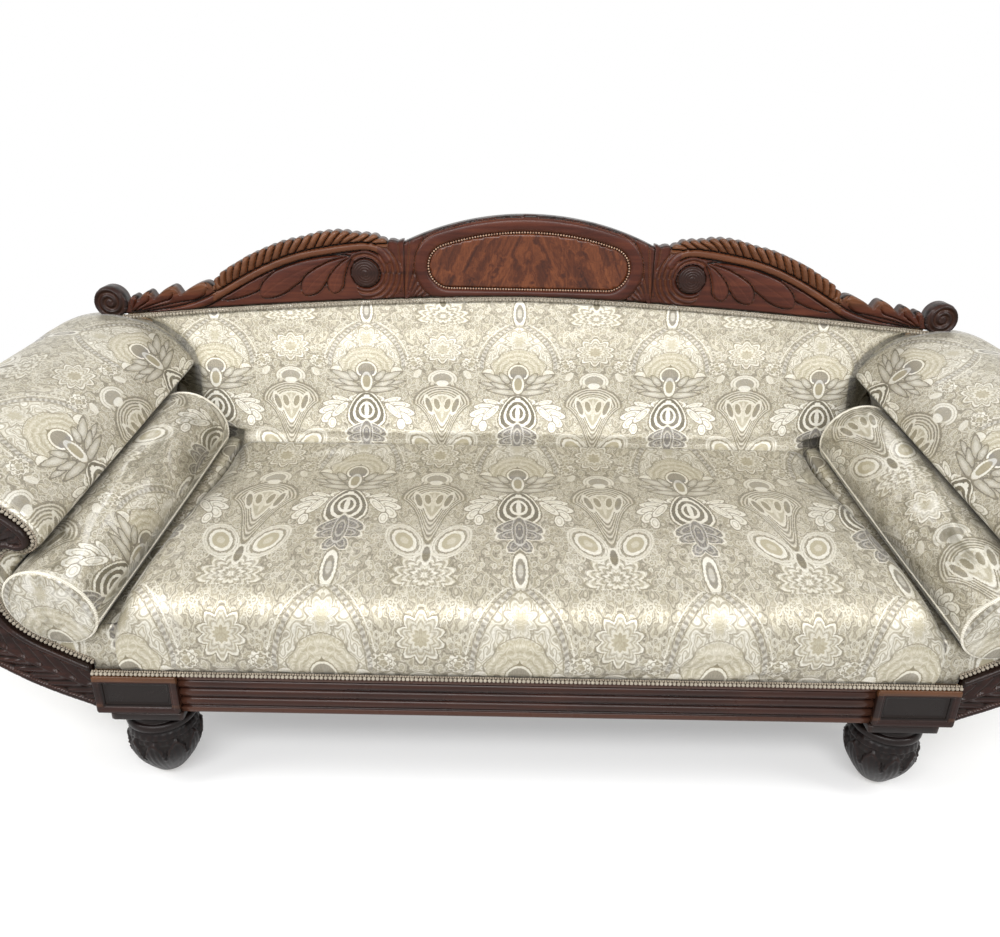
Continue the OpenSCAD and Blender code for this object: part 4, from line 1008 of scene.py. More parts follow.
def wing_outline():
    """Scalloped along the gadroon and the acanthus lobes, round at the volute, straight on the back's top."""
    outer = resampled(GADROON_OUT, 2.0)
    scallop = 4.6*ribs(math.pi*lengths(outer)/GADROON_PITCH, 0.8) - 1.2
    outer = outer + (moved(outer, 1.0) - outer)*scallop[:, None]
    inner_end = crest_tablet_half + gap
    fan_x = np.linspace(inner_end, FAN_END, 12)
    fan = np.stack([fan_x, 907 + 5*np.abs(np.cos(math.pi*(fan_x - crest_tablet_half)/FAN_PITCH))**0.7], 1)
    lobes = np.concatenate([smooth(tip, 4) for tip in LOBE_TIPS])
    around = arc(VOLUTE, VOLUTE_R, math.radians(155), math.radians(-118), 34)
    base_x = np.linspace(VOLUTE[0] - 22, inner_end, 60)
    return np.concatenate([fan, outer, lobes, around, np.stack([base_x, crest_low(base_x)], 1)])


def gadroon_place(p):
    """Distances from the gadroon's edges, the length along it, and True where the band itself lies."""
    out_gap, out_s, _ = nearest(p, GADROON_OUT)
    in_gap, _, in_side = nearest(p, GADROON_IN)
    band = (in_side > 0) & (p[:, 0] > GADROON_START) & (p[:, 0] < GADROON_END)
    return out_gap, in_gap, out_s, band


def wing_relief(p):
    x, z = p.T
    height = np.full(len(p), -2.4)

    def lay(value, mask):
        height[mask] = np.broadcast_to(value, len(p))[mask]

    for bend, tip, width in PETALS:
        lay(*petal(p, PETAL_BASE, bend, tip, width, 6.5))
    boss_gap, boss_turn = polar(p, BOSS)
    sweep = np.degrees(boss_turn) % 360
    reach = np.interp(sweep, [45, 100, 200, 250, 300], [46, 66, 86, 74, 40])
    scroll = (boss_gap < reach) & (sweep > 45) & (sweep < 300)
    lay(6.5*ribs(math.pi*(boss_gap - BOSS_R + 1.4*boss_turn)/11.5, 0.7) - 4.6, scroll)
    lay(fan_relief(p), (x < FAN_END + 1) & ~scroll & (z > 800))
    for (lobe_x, lobe_z), width in LOBES:
        bend = (lerp(lobe_x, LOBE_BASE[0], 0.45), lerp(lobe_z, LOBE_BASE[1], 0.30))
        value, mask = petal(p, LOBE_BASE, bend, (lobe_x + 6, lobe_z - width*0.3), width, 7.5, 0.80)
        lay(value, mask & (x > 694))
    rib_gap = nearest(p, RIB)[0]
    rib_half = np.clip(7.5 - (x - 720)*0.035, 2.5, 7.5)
    lay(5.2*dome(rib_gap/rib_half) - 0.6, rib_gap < rib_half)
    out_gap, in_gap, out_s, band = gadroon_place(p)
    t = in_gap/np.maximum(in_gap + out_gap, 0.1)
    lobe = ribs(math.pi*(out_s - 26*(1 - t))/GADROON_PITCH)
    swell = np.sqrt(np.maximum(0, 1 - np.clip((2*t - 1.05), -1, 1)**2*0.7))
    lay(lerp(GROOVE, 8.0*lobe**0.5*swell - 1.5, step_up(0.10, 0.48, lobe)), band & (z > 785))
    beside_rib = np.abs(rib_gap - rib_half - 1.6) < 1.7
    lay(GROOVE, beside_rib & (x > 330) & (x < 860) & (boss_gap > 48))
    lay(GROOVE, np.abs(boss_gap - BOSS_R - 1.5) < 1.6)
    spiral = 1.1*np.sin(2*math.pi*boss_gap/5.5 + boss_turn)
    lay(3.2 + 3.0*(1 - (boss_gap/BOSS_R)**2) + spiral, boss_gap < BOSS_R)
    lay(7.0, boss_gap < 5)
    volute_gap, volute_turn = polar(p, VOLUTE)
    lay(GROOVE, (volute_gap < VOLUTE_R + 3) & (x < VOLUTE[0]))
    lay(2.6 + 2.6*np.sin(2*math.pi*volute_gap/14.0 + volute_turn), volute_gap < VOLUTE_R)
    lay(4.5, volute_gap < 6)
    return height


def fan_relief(p):
    """Flutes of the palmette that crosses the joint between tablet and wing."""
    angle = np.arctan2(np.abs(p[:, 0]) - crest_tablet_half, p[:, 1] - FAN_ROOT)
    return 6.5*np.abs(np.cos(angle*math.pi/FAN_STEP))**0.7 - 4.6


def wing_shade(p):
    """Painted golden highlights on the gadroon, strongest towards its upper edge, on the rib and on the
    lobes' upper parts; darker on the boss and the volute.
    """
    x, z = p.T
    out_gap, _, _, band = gadroon_place(p)
    shade = np.where(band, 0.75 - 0.012*out_gap, 0.0)
    shade = np.where((nearest(p, RIB)[0] < 7) & (x > 330), 0.45, shade)
    shade = np.where((x > GADROON_END) & (x < 895), 0.7*step_up(26, 52, z - crest_low(x)), shade)
    dark = (polar(p, BOSS)[0] < BOSS_R) | (polar(p, VOLUTE)[0] < VOLUTE_R + 4)
    return np.where(dark, -0.75, shade)


def crest_wing(side):
    name = "crest_wing_" + NAMES[side]
    carved(name, wing_outline(), crest_y, crest_rear, wing_relief, 2.0, CREST_WOOD, 60, side, [name],
           edge=3.5, round_depth=3.5, shade=wing_shade, square=lambda p: p[:, 0] < crest_tablet_half + 5)


# The tablet's arch, and the sunk panel whose upper edge runs along it
arch_rise = (crest_top - crest_base)*0.36
arch_r = (crest_tablet_half**2 + arch_rise**2)/(2*arch_rise)
arch_z = crest_top - arch_r
panel_frame, panel_corner_r, bead_w = 38.0, 45.0, 5.0
panel_corner_z = crest_base + 17 + panel_corner_r
panel_arch_r = arch_r - panel_frame
panel_corner_x = math.sqrt((panel_arch_r - panel_corner_r)**2 - (panel_corner_z - arch_z)**2)
panel_angle = math.atan2(panel_corner_z - arch_z, panel_corner_x)


def panel_outline(more):
    """The panel's edge moved outwards: two round ends under a part of the arch."""
    right_end, left_end = (panel_corner_x, panel_corner_z), (-panel_corner_x, panel_corner_z)
    end_r, stop = panel_corner_r + more, math.pi - panel_angle
    right = arc(right_end, end_r, -math.pi/2, panel_angle, 20)
    top = arc((0, arch_z), panel_arch_r + more, panel_angle, stop, 50)
    left = arc(left_end, end_r, stop, 1.5*math.pi, 20)
    return np.concatenate([right, top[1:-1], left])


def tablet_relief(p):
    """A moulding round the sunk panel, and flutes beyond it."""
    d = nearest(p, closed_ring(panel_outline(0)))[0]
    height = np.where(d < bead_w + 28, 6.0*dome((d - bead_w - 14.0)/14.0) - 1.0, -5.0)
    height = np.where(d > bead_w + 30, fan_relief(p), height)
    return np.where(inside(p, panel_outline(bead_w)), -6.5, height)


def level(p):
    """No relief at all."""
    return np.zeros(len(p))


def crest_tablet():
    """The arched middle of the crest with its sunk veneered panel."""
    half = crest_tablet_half - gap/2
    shoulder_z = 903
    base_x = np.linspace(-half, half, 90)
    base = np.stack([base_x, crest_low(base_x)], 1)
    turn = math.asin(crest_tablet_half/arch_r)
    top = arc((0, arch_z), arch_r, math.pi/2 - turn, math.pi/2 + turn, 90)
    top[:, 0] = np.clip(top[:, 0], -half, half)
    carved("crest_tablet", np.concatenate([base, top]), crest_y, crest_rear, tablet_relief, 2.4, CREST_WOOD,
           60, nodes=["crest_tablet"], edge=9.0, round_depth=6.0,
           square=lambda p: (np.abs(p[:, 0]) > half - 9) & (p[:, 1] < shoulder_z))
    carved("crest_panel", panel_outline(-gap), crest_y + 2.2, crest_y + 6.4, level, 6.0, VENEER, 40,
           nodes=["crest_panel"], edge=1.2, round_depth=0.6)


def beads(name, centres, radius, material, nodes=()):
    """A row of small beads, each a low faceted ball."""
    turns, levels = 8, 5
    ball = [(0, -1, 0)]
    for step in range(1, levels):
        lift = math.pi*step/levels - math.pi/2
        for k in range(turns):
            turn = 2*math.pi*k/turns
            ball.append((math.cos(lift)*math.cos(turn), math.sin(lift), math.cos(lift)*math.sin(turn)))
    ball = np.array(ball + [(0, 1, 0)])
    count, top_ring = len(ball), 1 + (levels - 2)*turns
    faces = []
    for k in range(turns):
        beside = (k + 1) % turns
        faces += [(0, 1 + beside, 1 + k), (top_ring + k, top_ring + beside, count - 1)]
        for start in range(1, top_ring, turns):
            faces.append((start + k, start + beside, start + turns + beside, start + turns + k))
    points = (np.asarray(centres)[:, None, :] + ball[None]*radius).reshape(-1, 3)
    every = [tuple(i + n*count for i in f) for n in range(len(centres)) for f in faces]
    dressed(name, points, every, material, nodes=nodes)


def crest_beading():
    line = resampled(closed_ring(panel_outline(bead_w/2)), 6.0)[:-1]
    centres = np.stack([line[:, 0], np.full(len(line), crest_y + 1.6), line[:, 1]], 1)
    beads("crest_beading", centres, 2.4, BEAD_HIGHLIGHT, nodes=["crest_beading"])


# Arms, drawn for the side where x is positive
arm_y0 = reed_t + gap
arm_y1 = back_rail_y0 + 7 - gap
slant = 1 - bolster_dir[1]**2
slant_angle = math.degrees(math.atan2(bolster_dir[2], bolster_dir[0]))
# The hollow round the bolster runs from this angle in so many steps, and ends lower towards the back
ARC_START, ARC_FRONT, ARC_BACK, ARC_STEPS = 225, 410, 405, 20
WALL_STEPS = 8
HOLLOW_END = WALL_STEPS + ARC_STEPS + 1


def pocket(y, angle):
    """A point of the bolster's hollow, as x and z, at a depth and an angle."""
    lean = 1 - slant*math.cos(math.radians(angle - slant_angle))**2
    r = (bolster_r + bolster_gap + 1.2)/math.sqrt(lean)
    centre = axis_at(y)
    turn = math.radians(angle)
    return np.array([centre[0] + r*math.cos(turn), centre[2] + r*math.sin(turn)])


# The roll's outline on the front and the back board, in shares of the span from the bolster's middle
root_front = axis_at(arm_y0)[[0, 2]]
root_back = axis_at(arm_y1)[[0, 2]]
span_front = np.array([arm_reach - root_front[0], roll_top_front - root_front[1]])
span_back = np.array([arm_reach - root_back[0], roll_top_back - root_back[1]])
ROLL_FRONT = [(0.161, 0.290), (0.092, 0.338), (0.040, 0.404), (0.057, 0.518), (0.111, 0.633), (0.170, 0.722),
              (0.278, 0.837), (0.420, 0.931), (0.577, 0.988), (0.719, 1.0), (0.847, 0.951), (0.946, 0.829),
              (0.989, 0.653), (0.949, 0.469), (0.858, 0.318)]
ROLL_BACK = [(0.120, 0.368), (0.089, 0.412), (0.067, 0.455), (0.077, 0.521), (0.102, 0.593), (0.165, 0.737),
             (0.265, 0.881), (0.386, 0.964), (0.514, 1.0), (0.642, 0.964), (0.758, 0.856), (0.847, 0.665),
             (0.888, 0.418), (0.884, 0.149), (0.828, -0.072)]
ROLL_N = 5
roll_front_path = smooth(root_front + np.array(ROLL_FRONT)*span_front, ROLL_N)
roll_back_path = smooth(root_back + np.array(ROLL_BACK)*span_back, ROLL_N)
roll_mid_front = root_front + np.array((0.676, 0.653))*span_front
roll_mid_back = root_back + np.array((0.607, 0.418))*span_back


def arm_outer(y):
    """The stuffing's outer line at a depth: wall, hollow, nose and roll."""
    t = (y - arm_y0)/(arm_y1 - arm_y0)
    wall = wall_x(y) + gap
    wall_top = pocket(y, ARC_START)[1] - 4
    line = [(wall, lerp(pad_z0, wall_top, k/WALL_STEPS)) for k in range(WALL_STEPS + 1)]
    end = lerp(ARC_FRONT, ARC_BACK, t)
    line += [pocket(y, lerp(ARC_START, end, k/ARC_STEPS)) for k in range(ARC_STEPS + 1)]
    roll = lerp(roll_front_path, roll_back_path, t)
    away = roll - lerp(roll_mid_front, roll_mid_back, t)
    away /= np.linalg.norm(away, axis=1)[:, None]
    weight = np.clip((np.arange(len(roll)) - 5*ROLL_N)/(2*ROLL_N), 0, 1)*math.sin(math.pi*t)
    return np.concatenate([line, roll + away*(5*weight)[:, None]])


def placed(side, line, y):
    """A line of x and z at a depth, on the left or the right."""
    return [(side*x, y, z) for x, z in line]


def arm_pad(side):
    """The cloth over an arm's stuffing, eased in at the front edge."""
    name = "arm_pad_" + NAMES[side]
    ease_depth, thick, under_roll = 9, 12.0, 150
    rows, places = [], []
    for y in [*(arm_y0 + np.array([0, 1.5, 4, ease_depth])), *np.linspace(arm_y0 + 16, arm_y1, 56)]:
        line = arm_outer(y)
        outer = moved(line, -5.0*(1 - dome(max(0, 1 - (y - arm_y0)/ease_depth))))
        outer[:WALL_STEPS + 1, 0] = line[:WALL_STEPS + 1, 0]
        rows.append(placed(side, [*outer, *moved(line, -thick)[::-1]], y))
        s = lengths(outer)
        along = s - s[HOLLOW_END] - under_roll
        places.append([(y - 200, w*ARM_SQUEEZE) for w in [*along, *along[::-1], along[0]]])
    piece = wrapped("arm_cloth_" + NAMES[side], rows, CLOTH, places, side > 0, nodes=[name])
    column = np.arange(len(rows[0]))[None, :]
    depth = np.array(rows)[:, :, 1]
    free = (column > HOLLOW_END + 2*ROLL_N) & (column < len(outer) - 2)
    free = free & (depth > arm_y0 + 12) & (depth < arm_y1 - 40)
    puffed(piece, 1.8, 3.0, ~free.ravel())
    sharpen(piece, 75)


def arm_front_cloth(side):
    """The cloth over an arm's front edge, drawn in under the braid along the facing."""
    wall = wall_x(arm_y0) + gap
    hollow = arm_outer(arm_y0)[WALL_STEPS + 1:]
    foot_z = tablet_high[2] + 0.5
    corner = [(wall, hollow[0][1]), (wall, foot_z), (tablet_x1, foot_z)]
    outline = np.concatenate([moved(hollow, -1.0), facing_head[::-1], corner[::-1]])
    piece = carved("arm_front_cloth_" + NAMES[side], outline[::-1], reed_t - 5.0, arm_y0 + 6, level, 5.0,
                   CLOTH, 70, side, edge=14.0, round_depth=5.0, cloth=True)


# The facing's outline in shares of the span from the corner tablet's foot to the arm's outer end
NECK_FRONT = [(0.8125, 0.620), (0.760, 0.530), (0.690, 0.432), (0.607, 0.338), (0.500, 0.253), (0.409, 0.198),
              (0.289, 0.134), (0.164, 0.081), (0.044, 0.038), (0, 0.021)]
NECK_BACK = [(0.786, 0.708), (0.740, 0.603), (0.664, 0.495), (0.573, 0.390), (0.464, 0.294), (0.352, 0.217),
             (0.234, 0.152), (0.117, 0.096), (0.031, 0.044), (0, 0.021)]
FACING_HEAD = [(0, 0.203), (0.122, 0.257), (0.242, 0.315), (0.333, 0.386), (0.372, 0.478), (0.354, 0.576),
               (0.318, 0.649), (0.260, 0.689), (0.208, 0.681), (0.167, 0.689), (0.151, 0.716), (0.172, 0.760),
               (0.240, 0.814), (0.344, 0.871), (0.474, 0.921), (0.612, 0.950), (0.742, 0.956), (0.839, 0.933),
               (0.906, 0.879), (0.932, 0.812), (0.896, 0.729), (0.828, 0.658)]
arm_root = np.array([tablet_x1, rail_z])
to_arm = np.array([arm_reach, roll_top_front]) - arm_root
neck_front = smooth(arm_root + np.array(NECK_FRONT)*to_arm, 8)
neck_back = smooth(arm_root + np.array(NECK_BACK)*to_arm, 8)
facing_head = smooth(arm_root + np.array(FACING_HEAD)*to_arm, 8)
HEAD_MIDDLE = arm_root + np.array((0.640, 0.790))*to_arm
LEAF_PITCH = 33.0


def facing_relief(p):
    """Beaded edges, a feather with long barbs along the sweep, and rings in the scroll head."""
    out_gap, out_s, _ = nearest(p, neck_front)
    in_gap = nearest(p, facing_head)[0]
    wide = in_gap + out_gap
    spread = np.abs(in_gap/np.maximum(wide, 0.1) - 0.5)*2
    barb = ((out_s + 78*spread)/LEAF_PITCH) % 1.0
    height = 7.0*(1 - barb)**0.7*step_up(0, 0.14, barb) - 5.5 - 0.9*ribs(3*math.pi*barb)
    rib = spread*wide
    height = np.where(rib < 6, 2.4*dome(rib/6) - 1.0, height)
    r, spin = polar(p, HEAD_MIDDLE)
    head = 4.2*ribs(math.pi*r/17.0 - spin*0.5) - 4.2
    petals = 4.0*ribs(spin*5, 0.6)*step_up(0, 12, r) - 1.5
    height = lerp(height, np.where(r < 24, petals, head), step_up(84, 70, r))
    edge_gap = np.minimum(in_gap, out_gap)
    bead = 3.0*dome((edge_gap - 5)/5) - 1.4
    return np.where(edge_gap < 10, bead, np.where(edge_gap < 12, -5.0, height))


def arm_facing(side):
    name = "arm_facing_" + NAMES[side]
    outline = np.concatenate([resampled(facing_head, 5.0), resampled(neck_front, 5.0)])
    low, high = box_mm(name)
    carved(name, outline, low[1], high[1], facing_relief, 2.6, DARK_WOOD, 60, side, [name])


BRAID_PITCH, BRAID_R = 7.6, 3.6


def braid_along(name, line, y, side=1, nodes=()):
    """A row of round pearls of thread along a line of x and z, with a fine chain beside it."""
    beads(name, placed(side, resampled(line, BRAID_PITCH), y), BRAID_R, GIMP, nodes=nodes)
    chain = resampled(moved(line, BRAID_R + 1.2), 4.4)
    beads(name + "_chain", placed(side, chain, y + 1.2), 2.0, GIMP_DARK)


def arm_braid(side):
    name = "arm_braid_" + NAMES[side]
    braid_along(name, moved(facing_head, 3.4), reed_t - 7.0, side, [name])


def seat_braid():
    low, high = box_mm("seat_braid")
    line = np.array([(low[0] + 4, low[2] + BRAID_R), (high[0] - 4, low[2] + BRAID_R)])
    braid_along("seat_braid", line, (low[1] + high[1])/2 - 2, 1, ["seat_braid"])


def crest_braid():
    x = np.linspace(-902, 902, 200)
    braid_along("crest_braid", np.stack([x, crest_low(x) - 7.5], 1), crest_y - 2.5)


def stretched_cloth(name, rows, nodes, upright=False, cut=None):
    """A thin sheet of cloth laid over rows of points; where it stands upright its pattern does too.

    The cut argument is not used.
    """
    rows = np.array(rows, dtype=float)
    across = np.linalg.norm(np.diff(rows, axis=1), axis=2)
    down = np.linalg.norm(np.diff(rows, axis=0), axis=2)
    v = np.concatenate([np.zeros((len(rows), 1)), np.cumsum(across, 1)], 1)
    u = np.concatenate([np.zeros((1, rows.shape[1])), np.cumsum(down, 0)], 0)
    places = rows[:, :, [0, 2]] if upright else np.stack([u, v], 2)
    points, faces, corners = skin(rows, places, closed=False, caps=False)
    area = 0.0
    for f in faces:
        a, b, c, d = (points[i] for i in f)
        area += np.linalg.norm(np.cross(c - a, d - b))/2
    piece = dressed(name, points, faces, CLOTH, nodes=nodes, corner_uv=corners)


def arm_outside(side):
    """The cloth under the roll on an arm's outside, from the roll's edge down the neck."""
    name = "arm_outside_" + NAMES[side]
    rows = []
    for t in np.linspace(0, 1, 25):
        path = moved(lerp(neck_front, neck_back, t), -4.0)
        roll_end = lerp(roll_front_path[-3:], roll_back_path[-3:], t)
        tucked = lerp(roll_end[-1], roll_end[0], 0.7) + (path[0] - roll_end[-1])*0.25
        join = [lerp(tucked, path[0], k/5) for k in range(5)]
        rows.append(placed(side, [*join, *path], lerp(arm_y0, arm_y1, t)))
    stretched_cloth(name, rows, [name])


def arm_back_cover(side):
    """Cloth over the back of an arm: a fan of lines from the back's edge out to the roll's edge."""
    name = "arm_back_cover_" + NAMES[side]
    y = box_mm(name)[1][1]
    x0, roll_x0, under = stile_half + 0.2 + gap, top_rail_half + gap, top_rail_under - gap
    inner_roll = moved(roll_back_path, -9.0)
    inner_neck = moved(neck_back, -9.0)
    outer = np.concatenate([inner_roll[inner_roll[:, 0] > roll_x0], inner_neck[inner_neck[:, 0] > x0]])
    outer = resampled(outer, 8.0)
    first = resampled(np.array([(roll_x0, under), (x0, under), (x0, outer[-1][1])]), 6.0)
    at = np.linspace(0, 1, len(outer))
    s = lengths(first)/lengths(first)[-1]
    inner = np.stack([np.interp(at, s, first[:, k]) for k in range(2)], 1)
    rows = [placed(side, lerp(inner, outer, k/14), y) for k in range(15)]
    stretched_cloth(name, rows, [name], upright=True)
    edge = resampled(np.concatenate([roll_back_path[4*ROLL_N:], neck_back[neck_back[:, 0] > x0]]), 8.0)
    strip = [placed(side, moved(edge, -inset), depth)
             for depth, inset in ((arm_y1 - 1, 1.0), (arm_y1 + 3, 0.6), (y - 4, 0.6), (y - 1, 3.0),
                                  (y + 0.4, 10.0))]
    stretched_cloth("arm_back_edge_" + NAMES[side], strip, [])


def outside_y(z):
    """Depth of the back's outside at a height: upright on the seat frame, leaning back over it."""
    frame_y = frame_d + gap + 2
    top_y = box_mm("back_outside")[1][1]
    return np.interp(z, [rail_top, top_rail_under], [frame_y, top_y])


def back_outside():
    """Cloth over the whole rear, turned in under the crest and round the edges beside the arms."""
    narrow = float(stile_half)
    wide = box_mm("back_top_rail")[1][0] + 1.4
    columns = [narrow + 1, 820, wide]
    rows = []
    for x in [*[-x for x in columns[::-1]], *np.linspace(-narrow, narrow, 61), *columns]:
        top = crest_low(x) - 0.6
        bottom = top_rail_under if abs(x) > narrow else rail_z + 0.5
        row = [(x, outside_y(z), z) for z in np.linspace(bottom, top, 22)]
        rows.append([*row, (x, outside_y(top) - 10, top + 1.2)])
    stretched_cloth("back_outside", rows, ["back_outside"], upright=True, cut=2*wide)
    edge_x, edge_z = narrow + 0.6, top_rail_under - 0.6
    corners = [(edge_x, rail_z + 0.5), (edge_x, edge_z), (wide, edge_z), (wide, crest_low(wide) - 0.6)]
    edge = np.concatenate([resampled(np.array(pair), 8.0) for pair in zip(corners, corners[1:])])
    edge = edge[np.concatenate([[True], np.diff(lengths(edge)) > 0.1])]
    arm_y = box_mm("arm_back_cover_right")[1][1]
    for side in (-1, 1):
        strip = []
        for share, inset in ((0, 0), (0.33, 0), (0.66, 0), (0.98, 0.2), (1, 1.0), (1, 8.0)):
            line = moved(edge, inset)
            strip.append([(side*x, lerp(arm_y, outside_y(z) + 0.5, share), z) for x, z in line])
        stretched_cloth("back_edge_" + NAMES[side], strip, [])


# Soft pieces
def places_of(mesh):
    """A mesh's points, in metres."""
    places = np.empty(len(mesh.vertices)*3)
    mesh.vertices.foreach_get("co", places)
    return places.reshape(-1, 3)


def puffed(piece, pressure, cap, held):
    """Cloth under a little air, so that the cover swells and wrinkles as it would.

    The held points stay, and each other point moves at most cap millimetres.
    """
    frames = 16
    start = places_of(piece.data)
    group = piece.vertex_groups.new(name="held")
    group.add(np.nonzero(held)[0].tolist(), 1.0, "REPLACE")
    modifier = piece.modifiers.new("cloth", "CLOTH")
    for label, value in {"quality": 5, "mass": 0.3, "tension_stiffness": 22, "compression_stiffness": 22,
                         "shear_stiffness": 8, "bending_stiffness": 1.2, "use_pressure": True,
                         "uniform_pressure_force": pressure, "vertex_group_mass": "held"}.items():
        setattr(modifier.settings, label, value)
    modifier.settings.effector_weights.gravity = 0
    modifier.collision_settings.use_collision = False
    modifier.collision_settings.use_self_collision = False
    scene = bpy.context.scene
    for number in range(1, frames + 1):
        scene.frame_set(number)
    result = piece.evaluated_get(bpy.context.evaluated_depsgraph_get())
    shift = places_of(result.to_mesh()) - start
    result.to_mesh_clear()
    piece.modifiers.remove(modifier)
    size = np.linalg.norm(shift, axis=1)
    limit = np.minimum(1, cap*MM/np.maximum(size, 1e-9))
    piece.data.vertices.foreach_set("co", (start + shift*limit[:, None]).ravel())
    piece.data.update()
    scene.frame_set(1)


def seat_line():
    """The seat's section from under its front edge up, over the top and down behind, as y and z."""
    front = [(s*seat_bulge, lerp(pad_z0, seat_edge_top, h)) for s, h in
             ((0, 0), (0, 0.03), (-0.75, 0.14), (-1, 0.32), (-0.85, 0.54), (-0.1, 0.74), (1.6, 0.90),
              (4.6, 1.02))]
    top = [(s*seat_d, lerp(seat_edge_top, seat_top, h)) for s, h in
           ((0.15, 0.33), (0.26, 0.6), (0.42, 0.83), (0.6, 0.95), (0.77, 1))]
    rear = [(seat_d*0.9, lerp(seat_top, seat_back_top, 0.35)), (seat_d - seat_bulge, seat_back_top),
            (seat_d - gap, seat_back_top - seat_bulge)]
    return smooth(front + top + rear, 6)


def both_ways(ends, middle, count):
    """Shares from -1 to 1: the given ones at each end, closer together, and even ones between."""
    return np.concatenate([-np.array(ends), np.linspace(-middle, middle, count), ends[::-1]])


def cloth_pad(name, node, rows, places):
    """The cloth of the seat or the back over sections from left to right, and its points' x, y and z."""
    piece = wrapped(name, rows, CLOTH, places, True, nodes=[node])
    return piece, np.array(rows).reshape(-1, 3).T


def section_places(x, s, start, back_x, back_length, squeeze=1.0):
    """Places on the cloth round a section, its column of lotuses set where the photo has it."""
    back = np.linspace(s[-1], s[-1] + back_length, len(back_x))
    v = np.concatenate([s, back, [s[-1] + back_length + 10]]) - start
    return np.stack([np.concatenate([x, back_x, x[:1]]) - COLUMN_X, v*squeeze], 1)


def seat_pad():
    """The seat's cloth, rounded at its ends and drawn in over the front rail."""
    line = resampled(seat_line(), 9.0)
    depth, height = line.T
    s = lengths(line)
    crown = np.interp(445, depth, s)
    edge_r, front_half = 46.0, wall_x(0)
    under_y = np.linspace(seat_d - 8, 8, 12)
    rows, places = [], []
    for share in both_ways([1, 0.998, 0.992, 0.98, 0.965], 0.945, 130):
        e = np.clip((abs(share) - 1)*front_half/edge_r + 1, 0, 1)
        drop = edge_r*(1 - math.sqrt(1 - e*e*0.98))
        x = share*(wall_x(depth) - gap)
        puckers = 0.8*np.sin(x*0.19)*bell(height, pad_z0, 22.0)*(depth < 20)
        z = height - drop*np.clip((height - pad_z0)/(seat_edge_top - pad_z0), 0, 1)
        under_x = share*(wall_x(under_y) - gap)
        under = np.stack([under_x, under_y, np.full(12, pad_z0)], 1)
        rows.append(np.concatenate([np.stack([x, depth + puckers, z], 1), under]))
        places.append(section_places(x, s, crown, under_x, 60))
    piece, (_, y, z) = cloth_pad("seat_cloth", "seat_pad", rows, places)
    puffed(piece, 1.6, 3.5, (z < pad_z0 + 4) | (y > seat_d - 6))
    sharpen(piece, 80)


COLUMN_X = -17.0
# The back's section in shares of its height and its rake, and its edge's half width at each height
BACK_SHARES = [(0, 0), (0.2, 0), (0.36, 0), (0.40, 0), (0.44, 0.06), (0.48, 0.17), (0.55, 0.32), (0.65, 0.47),
               (0.75, 0.60), (0.85, 0.76), (0.93, 0.89), (0.975, 0.97), (1, 1.04)]
back_narrow, back_wide, back_full = 642.0, 735.0, 905.0
shoulder = [(0, 0.02), (0.30, 0.09), (0.55, 0.25), (0.80, 0.49), (0.94, 0.76)]
EDGE_Z = [pad_z0, seat_back_top + 17, seat_back_top + 35]
EDGE_Z += [lerp(roll_top_back - 113, roll_top_back, rise) for rise, _ in shoulder] + [roll_top_back + 3]
EDGE_X = [back_narrow, back_narrow, back_wide]
EDGE_X += [lerp(back_wide, back_full, out) for _, out in shoulder] + [back_full]
# The hessian behind the stuffing leans with the stiles up to the top rail
HESSIAN_LEAN, HESSIAN_TOP_Y = 0.0565, 672.3


def back_pad():
    """The back's cloth, swelling from the seat up to the crest and drawn in at its ends."""
    line = resampled(smooth(BACK_SHARES, 5), 0.016)
    rake = crest_y + 6 - seat_d
    end_share = 0.965
    rows, places = [], []
    for share in both_ways([1, 0.997, 0.99, 0.98], end_share, 150):
        top = crest_low(share*back_full) - gap - 2
        z = lerp(pad_z0, top, line[:, 0])
        x = share*np.interp(z, EDGE_Z, EDGE_X)
        e = np.clip((abs(share) - end_share)/0.035, 0, 1)
        y = seat_d + gap + line[:, 1]*rake + 7*(1 - math.sqrt(1 - e*e*0.96))
        y = y - 0.7*np.sin(x*0.21)*bell(z, top, 16.0)
        back_z = z[::-4]
        back_x = share*np.interp(back_z, EDGE_Z, EDGE_X)
        hessian_y = np.minimum(back_rail_y0 + (back_z - rail_top)*HESSIAN_LEAN, HESSIAN_TOP_Y) - 0.6
        rear_y = np.maximum(hessian_y - 2, np.interp(back_z, z, y) + 3)
        rows.append(np.concatenate([np.stack([x, y, z], 1), np.stack([back_x, rear_y, back_z], 1)]))
        s = lengths(np.stack([y, z], 1))
        places.append(section_places(x, s, np.interp(631, z, s), back_x, 50, BACK_SQUEEZE))
    piece, (x, y, z) = cloth_pad("back_cloth", "back_pad", rows, places)
    held = (z < seat_back_top + 12) | (z > crest_low(0) - 60) | (y > seat_d + rake*0.8) | (np.abs(x) > 600)
    puffed(piece, 1.6, 3.0, held)
    sharpen(piece, 80)


